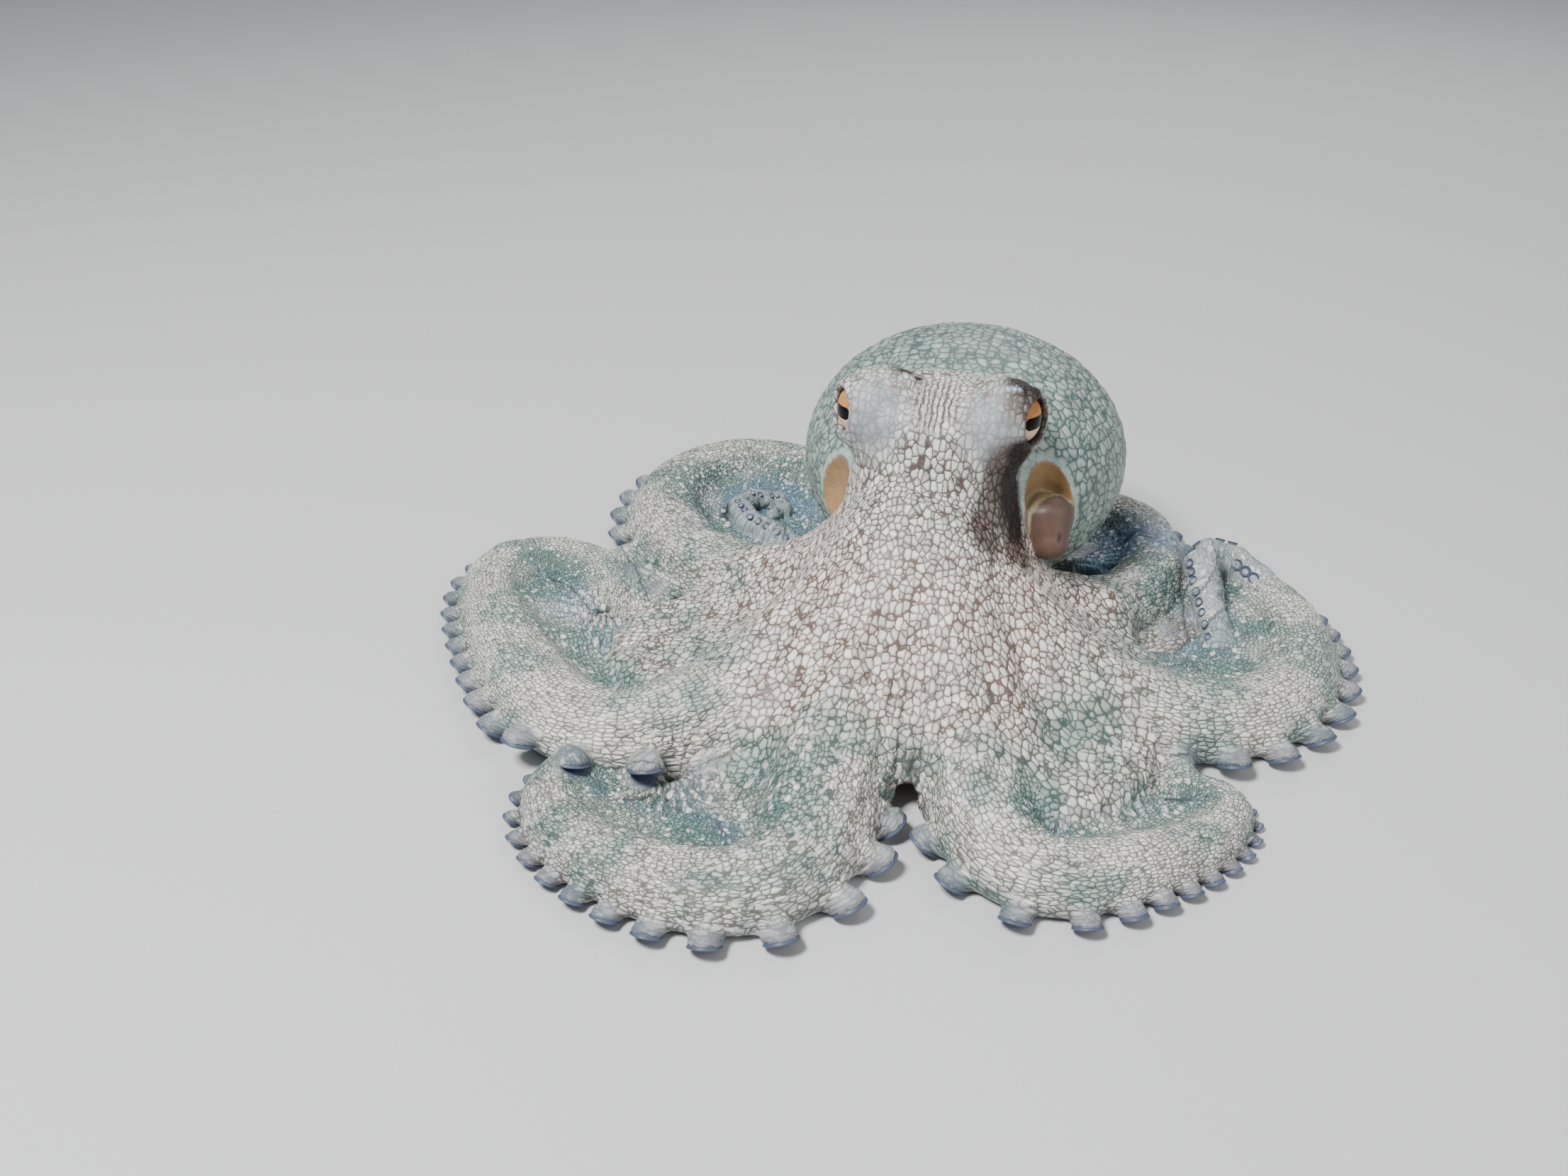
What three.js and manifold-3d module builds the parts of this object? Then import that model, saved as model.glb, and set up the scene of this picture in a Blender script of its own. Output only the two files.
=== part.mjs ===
// An octopus at rest, life size: head raised on a column of neck, round mantle
// behind it, eight arms spread over the ground and curled at their ends.
// Millimetres, +Z up. The animal faces -Y, so its right side lies towards -X.
import * as THREE from 'three';
import { mergeVertices } from 'three/addons/utils/BufferGeometryUtils.js';
import Module from 'manifold-3d';

const wasm = await Module();
wasm.setup();

// ---------------------------------------------------------------- dimensions
const GAP = 0.3;                  // clearance between neighbouring pieces
const WELD = 1e-4;                // points closer than this are one
const CROWN_Y = -4;               // centre of the crown, where the arms meet
const ARM_START = 12;             // arms leave the crown this far from its centre
const ARM_ROOT_END = 55;          // first length of every arm, part of the crown

// Each arm runs out at an azimuth, then turns as it goes: [length, degrees].
// width is the outer half-width at the root, inner the other flank against it,
// rise the height its crest gains at the neck;
// side is +1 where the suckers show on the arm's left hand, -1 on its right.
const ARMS = {
  r1: { azimuth: -112.7, width: 17, inner: 2.6, rise: 46, side: 1,
    stretches: [[76, 15], [33, -75], [65, -93], [47, -253]] },
  r2: { azimuth: -144.8, width: 17, inner: 2.6, rise: 48, side: 1,
    stretches: [[62, 0], [44, -74], [78, -40], [46, -134], [36, -63]] },
  r3: { azimuth: 159.7, width: 16, inner: 2, rise: 44, side: 1,
    stretches: [[69, -16], [78, -75], [57, -107], [60, -86], [21, -56]] },
  r4: { azimuth: 105, width: 11.5, inner: 1.2, rise: 30, side: -1,
    stretches: [[60, -12], [55, -3], [35, 120], [35, 190]] },
  l1: { azimuth: -67.3, width: 16, inner: 2.4, rise: 44, side: -1,
    stretches: [[69, 12], [24, 73], [51, 59], [33, 189]] },
  l2: { azimuth: -22.1, width: 16, inner: 2.4, rise: 38, side: -1,
    stretches: [[60, 29], [52, 69], [64, 83], [20, 99], [26, 72]] },
  l3: { azimuth: 21.2, width: 14, inner: 1.6, rise: 30, side: -1,
    stretches: [[69, 47], [57, 64], [40, 119], [36, 158]] },
  l4: { azimuth: 75, width: 11.5, inner: 1.2, rise: 30, side: 1,
    stretches: [[60, 12], [62, 3], [35, -120], [35, -190]] },
};
const ARM_FULL_WIDTH = 17;        // half-width of the stoutest arm
const ARM_TAPER = 0.6;            // power of the fall in width towards the tip
const ARM_TIP_WIDTH = 1.1;        // half-width left at the very tip
const ARM_BEND_FILL = 0.88;       // most of a bend's radius the inner flank fills
const ARM_BEND_REACH = 8;         // the bend is felt this far along the arm
const ARM_BEND_LEAST = 1e-3;      // bend of a straight arm, radians per millimetre
const ARM_CREST = 20;             // crest height the taper starts from
const ARM_CREST_TAPER = 0.5;
const ARM_RISE_LENGTH = 30;       // how fast the crest climbs to the neck
const ARM_RISE_POWER = 1.4;
const ARM_ARCH = 9;               // height of the underside at the crown
const ARM_ARCH_LENGTH = 42;
const ARM_ARCH_POWER = 1.5;
const ARM_STATIONS = 14;          // rings in a whole arm
const ARM_BEND_WEIGHT = 15;       // millimetres of spacing one radian is worth
const ARM_RING_CLEAR = 3;         // no ring comes closer than this to a cut
const ARM_CUTS = [0.3, 0.62];     // shares of the free arm where it is divided
const ARM_SECTION = [0, 34, 70, 110, 150];   // degrees over the top
const ARM_SQUARE = 0.8;           // below 1 fills out the dome's shoulders
const ARM_FLANK = 0.25;           // upright part of the outer flank, share of the height
const ARM_FOOT = { inner: 0.82, outer: 0.8 };   // flat underside, shares of the half-widths

// Skin gathered inside the larger curls, a low sheet joined to the arm's middle length.
const CURLS = {
  r1: { x: -56, y: -79, radius: 21 },
  l1: { x: 67, y: -49, radius: 14 },
  r2: { x: -109, y: 6, radius: 21 },
  r3: { x: -64, y: 80, radius: 27 },
  l2: { x: 77, y: 36, radius: 19 },
  l3: { x: 45, y: 88, radius: 17 },
};
const CURL_SKIN = 3;              // thickness of that sheet
const CURL_SIDES = 10;

const SUCKER_RIM = 5.5;           // rim radius of the largest suckers
const SUCKER_FADE = 2.2;          // power of their fall in size along the arm
const SUCKER_PITCH = 2.4;         // spacing, in rim radii
const SUCKER_TILT = 35;           // degrees each cup looks down from level
const SUCKER_LENGTH = 1.5;        // stalk and cup, in rim radii
const SUCKER_NECK = 0.62;         // stalk radius against rim radius
const SUCKER_DEPTH = 0.5;         // depth of the cup, in rim radii
const SUCKER_STANDOFF = 0.55;     // rim centre beyond the flank, in rim radii
const SUCKER_SIDES = 5;
const SUCKER_SMALLEST = 3.1;      // the row stops where rims would be smaller

// Web: a bell of skin round the crown, with one margin radius per gap.
const WEB_HEIGHT = 52;            // bell height near the neck
const WEB_FALL = 42;              // radius over which the bell falls away
const WEB_FALL_POWER = 1.5;
const WEB_BASE = 8;               // height of the skin at its far margin
const WEB_FLOOR = 2.5;            // underside of the skin, clear of the ground
const MOUTH_RADIUS = 13;          // hollow round the mouth, under the crown
const MOUTH_ROOF = 9;             // height of that hollow
const MOUTH_EDGE = [0.7, 1.3];    // the roof comes down between these shares of the radius
const WEB_MARGIN = [              // [azimuth, margin radius, height of the arch there]
  [-172, 94, 0], [-130, 68, 0], [-91, 58, 8], [-46, 82, 0], [0, 70, 0],
  [50, 50, 0], [90, 34, 0], [134, 52, 0],
];
const WEB_AROUND = 26;            // facets round the bell
const WEB_RINGS = [0.12, 0.34, 0.54, 0.76, 1];   // rings on top, shares of the margin
const WEB_UNDER = [1, 0.62, 0.26, 0.12];         // rings underneath, margin inwards

// Head column: [z, half-width, front y, back y]
const HEAD_SHIFT = -0.8;          // middle of the head in x
const HEAD_PROFILE = [
  [34, 33, -27, 24], [42, 29, -20.5, 27], [50, 26, -16, 29], [58, 24, -13, 30],
  [66, 22.5, -11, 31], [74, 22.5, -9.5, 31], [82, 20.5, -7.5, 29],
  [87, 15.5, -3, 26], [89, 8, 4, 21],
];
const HEAD_SIDES = 14;
const HEAD_SQUARE = 0.86;         // below 1 squares the column's section
const NECK_CUT = 50;              // level where the head ends and the crown begins
const BROW = { x: 16.5, y: 9, z: 79, rx: 11.5, ry: 13, rz: 13 };
const EYE = { x: 19.8, y: 6, z: 81.8, lift: 0.8, radius: 8.2 };   // the left is lifted, the right sunk

const MANTLE = { x: 2, y: 51, z: 47, rx: 49, ry: 54, rz: 38.5 };
const MANTLE_SAG = 0.12;          // how much wider the sac is behind its middle
const MANTLE_TILT = 6;            // degrees the hind end sinks
const POCKET = {                  // mouth of the mantle beside the neck
  r: { x: -33, y: 8, z: 52, rx: 6.5, ry: 9, rz: 14, lean: 14 },
  l: { x: 32.5, y: 8, z: 54, rx: 7.5, ry: 10, rz: 16, lean: -10 },
};

const SIPHON = { base: [28.5, 16, 52], tip: [34.3, 3, 41.5], wide: 7.8, narrow: 5, bore: 2.8 };
const SIPHON_SIDES = 12;
const BORE_TAPER = 0.8;           // inner over outer radius of the siphon's bore
const BORE_START = 0.85;          // how far along the siphon the bore is centred

// Facets round and over the smaller rounded parts.
const BROW_FACETS = [12, 8];
const EYE_FACETS = [12, 8];
const POCKET_FACETS = [10, 7];
const MANTLE_FACETS = [20, 12];

// A box wider and taller than the animal, for cutting it at a level.
const SLAB_WIDTH = 400;
const BELOW_ALL = -1;
const ABOVE_ALL = 200;

// ---------------------------------------------------------------- materials
const paint = (colour, roughness) =>
  new THREE.MeshStandardMaterial({ color: colour, roughness, metalness: 0 });
const PAINT = {
  crown: paint(0xb9b1a2, 0.55),
  mantle: paint(0x7f8f86, 0.55),
  arm: paint(0xa7a79c, 0.5),
  siphon: paint(0x6f5444, 0.45),
  eye: paint(0xc58a3c, 0.15),
};

// ------------------------------------------------------------------ helpers
const radians = THREE.MathUtils.degToRad;

/** A manifold solid from a closed three.js geometry. */
function solid(geometry) {
  const bare = geometry.index ? geometry : mergeVertices(geometry);
  const kept = new THREE.BufferGeometry();
  kept.setAttribute('position', bare.getAttribute('position'));
  kept.setIndex(bare.index);
  const welded = mergeVertices(kept, WELD);
  const mesh = new wasm.Mesh({
    numProp: 3,
    vertProperties: new Float32Array(welded.getAttribute('position').array),
    triVerts: new Uint32Array(welded.index.array),
  });
  return new wasm.Manifold(mesh);
}

/** A three.js geometry from a manifold solid. */
function geometryOf(body) {
  const mesh = body.getMesh();
  const geometry = new THREE.BufferGeometry();
  geometry.setAttribute('position', new THREE.BufferAttribute(mesh.vertProperties, 3));
  geometry.setIndex(new THREE.BufferAttribute(mesh.triVerts, 1));
  geometry.computeVertexNormals();
  return geometry;
}

/** Skin a row of equal rings of points and close both ends, the last one dished. */
function loft(rings, dish = 0) {
  const around = rings[0].length;
  const points = rings.flat();
  const middles = [rings[0], rings[rings.length - 1]].map((ring) =>
    ring.reduce((sum, p) => sum.add(p), new THREE.Vector3()).divideScalar(around));
  const heading = middles[0].clone().sub(middles[1]).normalize();
  middles[1].addScaledVector(heading, dish);
  const first = points.length;
  const index = [];
  for (let i = 0; i + 1 < rings.length; i++) {
    for (let j = 0; j < around; j++) {
      const a = i * around + j;
      const b = i * around + ((j + 1) % around);
      index.push(a, b, b + around, a, b + around, a + around);
    }
  }
  const last = (rings.length - 1) * around;
  for (let j = 0; j < around; j++) {
    const next = (j + 1) % around;
    index.push(first, next, j);
    index.push(first + 1, last + j, last + next);
  }
  const all = [...points, ...middles];
  let volume = 0;
  for (let i = 0; i < index.length; i += 3) {
    const [a, b, c] = [all[index[i]], all[index[i + 1]], all[index[i + 2]]];
    volume += new THREE.Vector3().crossVectors(a, b).dot(c);
  }
  const geometry = new THREE.BufferGeometry().setFromPoints(all);
  geometry.setIndex(volume > 0 ? index : index.reverse());
  return solid(geometry);
}

/** An ellipsoid with its own radii, turned by degrees about the Y axis. */
function ellipsoid({ x, y, z, rx, ry, rz, lean = 0 }, grow = 0, around = 20, rows = 14) {
  const ball = new THREE.SphereGeometry(1, around, rows);
  ball.rotateX(Math.PI / 2);
  ball.scale(rx + grow, ry + grow, rz + grow);
  ball.rotateY(radians(lean));
  ball.translate(x, y, z);
  return solid(ball);
}

/** Keep the largest piece of a solid that cutting has left in several. */
function largest(body) {
  const pieces = body.decompose();
  return pieces.reduce((best, piece) => (piece.volume() > best.volume() ? piece : best));
}

// --------------------------------------------------------------------- arms
/** Walk along an arm: place, heading and bend at any distance from the crown. */
function armPath({ azimuth, stretches }) {
  const knots = [[0, 0]];
  for (const [length, turn] of stretches) {
    const [s, total] = knots[knots.length - 1];
    knots.push([s + length, total + turn]);
  }
  const steps = stretches.map(([length, turn]) => turn / length);
  const slope = knots.map((_, i) => {
    if (i === 0) return steps[0];
    if (i === steps.length) return steps[i - 1];
    return (steps[i - 1] + steps[i]) / 2;
  });
  const turned = (s) => {
    let i = 0;
    while (i < steps.length - 1 && s > knots[i + 1][0]) i++;
    const h = knots[i + 1][0] - knots[i][0];
    const u = (s - knots[i][0]) / h;
    return knots[i][1] * (1 + 2 * u) * (1 - u) ** 2 + slope[i] * h * u * (1 - u) ** 2
      + knots[i + 1][1] * u * u * (3 - 2 * u) + slope[i + 1] * h * u * u * (u - 1);
  };
  const length = knots[knots.length - 1][0];
  const walk = [];
  let x = ARM_START * Math.cos(radians(azimuth));
  let y = CROWN_Y + ARM_START * Math.sin(radians(azimuth));
  for (let s = 0; s <= length; s++) {
    const heading = radians(azimuth + turned(s));
    const ahead = radians(azimuth + turned(Math.min(s + 1, length)));
    walk.push({ s, x, y, heading, bend: Math.abs(ahead - heading) });
    x += Math.cos((heading + ahead) / 2);
    y += Math.sin((heading + ahead) / 2);
  }
  const at = (s) => {
    const i = Math.min(Math.max(Math.floor(s), 0), walk.length - 2);
    const share = THREE.MathUtils.clamp(s - i, 0, 1);
    const mix = (key) => THREE.MathUtils.lerp(walk[i][key], walk[i + 1][key], share);
    return { x: mix('x'), y: mix('y'), heading: mix('heading'), bend: mix('bend') };
  };
  return { length: length - 1, walk, at };
}
const PATHS = Object.fromEntries(Object.entries(ARMS).map(([name, arm]) => [name, armPath(arm)]));

/** Half-widths and heights of an arm's section at distance s. */
function armSize(name, s) {
  const path = PATHS[name];
  const left = Math.max(1 - s / path.length, 0);
  const outer = Math.max(ARMS[name].width * left ** ARM_TAPER, ARM_TIP_WIDTH);
  const bends = [-ARM_BEND_REACH, -ARM_BEND_REACH / 2, 0, ARM_BEND_REACH / 2, ARM_BEND_REACH]
    .map((shift) => path.at(s + shift).bend);
  const bend = Math.max(...bends, ARM_BEND_LEAST);
  const inner = Math.min(outer * ARMS[name].inner, ARM_BEND_FILL / bend);
  const rise = ARMS[name].rise * Math.exp(-((s / ARM_RISE_LENGTH) ** ARM_RISE_POWER));
  const crest = Math.max(ARM_CREST * left ** ARM_CREST_TAPER, 2 * ARM_TIP_WIDTH) + rise;
  const arch = ARM_ARCH * Math.max(1 - s / ARM_ARCH_LENGTH, 0) ** ARM_ARCH_POWER;
  return { outer, inner: Math.max(inner, ARM_TIP_WIDTH), crest, floor: arch };
}

/** One ring of points round an arm: flat below, domed above. */
function armRing(name, s, grow) {
  const { x, y, heading } = PATHS[name].at(s);
  const { outer, inner, crest, floor } = armSize(name, s);
  const side = ARMS[name].side;
  const out = new THREE.Vector3(side * -Math.sin(heading), side * Math.cos(heading), 0);
  const place = (across, up) =>
    new THREE.Vector3(x, y, 0).addScaledVector(out, across).setZ(up);
  const flank = ARM_FLANK * (crest - floor);
  const over = ARM_SECTION.map((degrees) => {
    const cos = Math.cos(radians(degrees));
    const reach = (cos > 0 ? outer : inner) + grow;
    const height = (crest - floor - flank) * Math.sin(radians(degrees)) ** ARM_SQUARE;
    return place(reach * cos, floor + flank + height + grow);
  });
  const under = [-ARM_FOOT.inner * inner - grow, ARM_FOOT.outer * outer + grow].map((across) =>
    place(across, floor - grow));
  return [...over, ...under];
}

/** Where an arm is divided: each cut falls between two suckers. */
function armCuts(name) {
  const { length } = PATHS[name];
  const row = suckerRow(name);
  const middles = row.slice(1).map((s, i) => (s + row[i]) / 2);
  const bare = row[row.length - 1] + SUCKER_RIM;
  const nearest = (wanted) => (wanted > bare ? wanted : middles.reduce((best, s) =>
    (Math.abs(s - wanted) < Math.abs(best - wanted) ? s : best)));
  const free = length - ARM_ROOT_END;
  return [0, ARM_ROOT_END, ...ARM_CUTS.map((share) => nearest(ARM_ROOT_END + share * free)), length];
}

/** Ring distances along a whole arm, closer together where the arm bends. */
function armStations(name) {
  const { walk, length } = PATHS[name];
  const weight = [0];
  for (const { bend } of walk) weight.push(weight[weight.length - 1] + 1 + ARM_BEND_WEIGHT * bend);
  const step = weight[weight.length - 1] / ARM_STATIONS;
  const even = Array.from({ length: ARM_STATIONS - 1 }, (_, k) =>
    weight.findIndex((value) => value >= (k + 1) * step));
  const cuts = armCuts(name);
  const clear = even.filter((s) => cuts.every((cut) => Math.abs(s - cut) > ARM_RING_CLEAR));
  return [...clear, ...cuts].sort((a, b) => a - b).map((s) => Math.min(s, length));
}

/** Rim radius of the sucker at distance s. */
const suckerRim = (name, s) =>
  SUCKER_RIM * (ARMS[name].width / ARM_FULL_WIDTH) * (1 - (s / PATHS[name].length) ** SUCKER_FADE);

/** Distances of the outer row of suckers along an arm. */
function suckerRow(name) {
  const row = [];
  let s = ARM_ROOT_END + SUCKER_RIM * SUCKER_PITCH / 2;
  while (suckerRim(name, s) > SUCKER_SMALLEST) {
    row.push(s);
    s += SUCKER_PITCH * suckerRim(name, s + 2);
  }
  return row;
}

/** One sucker: a stalk that flares to a rim, hollowed by its cup. */
function sucker(name, s, grow) {
  const { x, y, heading } = PATHS[name].at(s);
  const { outer } = armSize(name, s);
  const side = ARMS[name].side;
  const rim = suckerRim(name, s);
  const out = new THREE.Vector3(side * -Math.sin(heading), side * Math.cos(heading), 0);
  const tilt = radians(SUCKER_TILT);
  const axis = out.clone().multiplyScalar(Math.cos(tilt)).setZ(-Math.sin(tilt));
  const along = new THREE.Vector3(Math.cos(heading), Math.sin(heading), 0);
  const up = new THREE.Vector3().crossVectors(axis, along);
  const centre = new THREE.Vector3(x, y, 0)
    .addScaledVector(out, outer + SUCKER_STANDOFF * rim).setZ(rim * Math.cos(tilt));
  const ringAt = (back, radius) => Array.from({ length: SUCKER_SIDES }, (_, k) => {
    const turn = (k + 0.5) * 2 * Math.PI / SUCKER_SIDES;
    return centre.clone().addScaledVector(axis, -back)
      .addScaledVector(along, radius * Math.cos(turn))
      .addScaledVector(up, radius * Math.sin(turn));
  });
  const stalk = ringAt(SUCKER_LENGTH * rim, SUCKER_NECK * rim + grow);
  const mouth = ringAt(-grow, rim + grow);
  return loft([stalk, mouth], grow > 0 ? 0 : SUCKER_DEPTH * rim);
}

/** The body of an arm between two distances, with the suckers in between. */
function armLength(name, from, to, grow = 0) {
  const between = armStations(name).filter((s) => s > from + GAP && s < to - GAP);
  let body = loft([from, ...between, to].map((s) => armRing(name, s, grow)));
  for (const s of suckerRow(name)) {
    if (s > from && s < to) body = body.add(sucker(name, s, grow));
  }
  return body;
}

/** The sheet inside an arm's curl, clear of all but the arm's middle length. */
function curlSkin(name) {
  const { x, y, radius } = CURLS[name];
  const disc = new THREE.CylinderGeometry(radius, radius, CURL_SKIN, CURL_SIDES);
  disc.rotateX(Math.PI / 2);
  disc.translate(x, y, CURL_SKIN / 2);
  const [root, free, middle, tip, end] = armCuts(name);
  let sheet = solid(disc).subtract(webBell(GAP));
  for (const [from, to] of [[root, free], [free, middle], [tip, end]]) {
    sheet = sheet.subtract(armLength(name, from, to, GAP));
  }
  for (const other of Object.keys(ARMS)) {
    if (other !== name) sheet = sheet.subtract(wholeArms[other]);
  }
  return sheet;
}

// ---------------------------------------------------------------- web, crown
/** Margin radius and arch of the web at an azimuth, eased between the gaps. */
function webMargin(azimuth) {
  const start = WEB_MARGIN[0][0];
  const wrapped = THREE.MathUtils.euclideanModulo(azimuth - start, 360) + start;
  const rows = [...WEB_MARGIN, [start + 360, ...WEB_MARGIN[0].slice(1)]];
  const next = rows.findIndex((row) => row[0] > wrapped);
  const [a, b] = [rows[next - 1], rows[next]];
  const share = THREE.MathUtils.smoothstep(wrapped, a[0], b[0]);
  return {
    radius: THREE.MathUtils.lerp(a[1], b[1], share),
    arch: THREE.MathUtils.lerp(a[2], b[2], share),
  };
}

/** Height of the top of the web at a radius. */
const webTop = (radius) =>
  WEB_BASE + (WEB_HEIGHT - WEB_BASE) * Math.exp(-((radius / WEB_FALL) ** WEB_FALL_POWER));

/** The web, solid under its bell: rings over the top, then back underneath. */
function webBell(grow = 0) {
  const ring = (share, height) => Array.from({ length: WEB_AROUND }, (_, k) => {
    const azimuth = (k * 360) / WEB_AROUND - 180;
    const { radius, arch } = webMargin(azimuth);
    const r = radius * share + (share === 1 ? grow : 0);
    return new THREE.Vector3(
      r * Math.cos(radians(azimuth)), CROWN_Y + r * Math.sin(radians(azimuth)),
      height(r, arch * share ** 2));
  });
  const top = (r) => webTop(r) + grow;
  const under = (r, arch) => {
    const [near, far] = MOUTH_EDGE.map((share) => share * MOUTH_RADIUS);
    const past = THREE.MathUtils.smoothstep(r, near, far);
    return THREE.MathUtils.lerp(MOUTH_ROOF, WEB_FLOOR + arch, past) - grow;
  };
  return loft([...WEB_RINGS.map((share) => ring(share, top)),
    ...WEB_UNDER.map((share) => ring(share, under))]);
}

/** The column of neck and head, up to its crown. */
function headColumn(grow = 0) {
  const rings = HEAD_PROFILE.map(([z, half, front, back]) => {
    const [middle, depth] = [(front + back) / 2, (back - front) / 2];
    return Array.from({ length: HEAD_SIDES }, (_, k) => {
      const turn = (k * 2 * Math.PI) / HEAD_SIDES;
      const square = (value) => Math.sign(value) * Math.abs(value) ** HEAD_SQUARE;
      return new THREE.Vector3(
        HEAD_SHIFT + (half + grow) * square(Math.cos(turn)),
        middle + (depth + grow) * square(Math.sin(turn)), z);
    });
  });
  for (const point of rings[rings.length - 1]) point.z += grow;
  return loft(rings);
}

/** Head column with the two brows, left solid. */
function headBody(grow = 0) {
  let body = headColumn(grow);
  for (const side of [-1, 1]) {
    body = body.add(ellipsoid({ ...BROW, x: HEAD_SHIFT + side * BROW.x }, grow, ...BROW_FACETS));
  }
  return body;
}

/** Everything between two levels, as a wide box. */
function slab(from, to) {
  const box = new THREE.BoxGeometry(SLAB_WIDTH, SLAB_WIDTH, to - from);
  box.translate(0, 0, (from + to) / 2);
  return solid(box);
}

const eyeBall = (side, grow = 0) => ellipsoid({
  x: HEAD_SHIFT + side * EYE.x, y: EYE.y, z: EYE.z + side * EYE.lift,
  rx: EYE.radius, ry: EYE.radius, rz: EYE.radius,
}, grow, ...EYE_FACETS);

/** The mantle: an egg-shaped sac, broader behind, its hind end a little sunk. */
function mantleSac() {
  const ball = new THREE.SphereGeometry(1, ...MANTLE_FACETS).rotateX(Math.PI / 2);
  const place = ball.getAttribute('position');
  for (let i = 0; i < place.count; i++) {
    const back = place.getY(i);
    const broad = 1 + MANTLE_SAG * back * (1 - back * back);
    place.setXYZ(i, place.getX(i) * broad, place.getY(i), place.getZ(i) * broad);
  }
  ball.scale(MANTLE.rx, MANTLE.ry, MANTLE.rz);
  ball.rotateX(radians(-MANTLE_TILT));
  ball.translate(MANTLE.x, MANTLE.y, MANTLE.z);
  return solid(ball);
}

/** A round tube between two points, wide at its base, bored from its tip. */
function siphonTube(grow = 0) {
  const base = new THREE.Vector3(...SIPHON.base);
  const tip = new THREE.Vector3(...SIPHON.tip);
  const turn = new THREE.Quaternion()
    .setFromUnitVectors(new THREE.Vector3(0, 1, 0), tip.clone().sub(base).normalize());
  const length = base.distanceTo(tip);
  const place = (geometry, along) => geometry.translate(0, along, 0)
    .applyQuaternion(turn).translate(...SIPHON.base);
  const outside = new THREE.CylinderGeometry(
    SIPHON.narrow + grow, SIPHON.wide + grow, length + 2 * grow, SIPHON_SIDES);
  const body = solid(place(outside, length / 2));
  if (grow > 0) return body;
  const bore = new THREE.CylinderGeometry(
    SIPHON.bore, SIPHON.bore * BORE_TAPER, length, SIPHON_SIDES);
  return body.subtract(solid(place(bore, length * BORE_START)));
}

// -------------------------------------------------------------- the animal
const group = new THREE.Group();
group.name = 'octopus';
const bodies = {};

// Arms that press on one another: each gives way to those named after it.
const YIELDS = { r1: ['r2'], r3: ['r2', 'r4'], l2: ['l1'], l3: ['l2', 'l4'], l4: ['r4'], l1: ['r1'] };
const wholeArms = Object.fromEntries(Object.keys(ARMS).map((name) =>
  [name, armLength(name, 0, PATHS[name].length, GAP)]));

const LENGTHS = ['base', 'mid', 'tip'];
const freeArms = [];
for (const name of Object.keys(ARMS)) {
  const { length } = PATHS[name];
  const cuts = armCuts(name).slice(1);
  LENGTHS.forEach((part, i) => {
    let body = armLength(name, cuts[i] + GAP / 2, cuts[i + 1] - (i < 2 ? GAP / 2 : 0));
    for (const other of YIELDS[name] ?? []) body = body.subtract(wholeArms[other]);
    if (part === 'tip') body = body.subtract(armLength(name, cuts[0], cuts[1], GAP));
    if (part === 'mid' && CURLS[name]) body = body.add(curlSkin(name));
    bodies[`arm_${name}_${part}`] = largest(body);
  });
  freeArms.push(armLength(name, ARM_ROOT_END - GAP / 2, length, GAP));
}

let trunk = webBell().add(headBody());
for (const name of Object.keys(ARMS)) trunk = trunk.add(armLength(name, 0, ARM_ROOT_END - GAP / 2));
let crown = trunk.intersect(slab(BELOW_ALL, NECK_CUT - GAP / 2));
for (const arm of freeArms) crown = crown.subtract(arm);
bodies.web = largest(crown);

let head = trunk.intersect(slab(NECK_CUT + GAP / 2, ABOVE_ALL));
for (const side of [-1, 1]) head = head.subtract(eyeBall(side, GAP));
bodies.head = largest(head);
bodies.eye_right = eyeBall(-1);
bodies.eye_left = eyeBall(1);

let mantle = mantleSac().subtract(headBody(GAP)).subtract(webBell(GAP));
for (const name of Object.keys(ARMS)) mantle = mantle.subtract(wholeArms[name]);
for (const pocket of Object.values(POCKET)) {
  mantle = mantle.subtract(ellipsoid(pocket, 0, ...POCKET_FACETS));
}
mantle = mantle.subtract(siphonTube(GAP));
bodies.mantle = largest(mantle);
let siphon = siphonTube().subtract(headBody(GAP)).subtract(webBell(GAP));
for (const name of ['l2', 'l3']) siphon = siphon.subtract(wholeArms[name]);
bodies.siphon = largest(siphon);

const PAINT_OF = {
  web: 'crown', head: 'crown', mantle: 'mantle', siphon: 'siphon', eye_right: 'eye', eye_left: 'eye',
};
for (const [name, body] of Object.entries(bodies)) {
  const mesh = new THREE.Mesh(geometryOf(body), PAINT[PAINT_OF[name] ?? 'arm'].clone());
  mesh.name = name;
  group.add(mesh);
}

// Stand the animal with the middle of its footprint on the origin.
const box = new THREE.Box3().setFromObject(group);
const middle = box.getCenter(new THREE.Vector3());
for (const mesh of group.children) mesh.geometry.translate(-middle.x, -middle.y, -box.min.z);

export default group;
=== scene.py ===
import math

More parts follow.
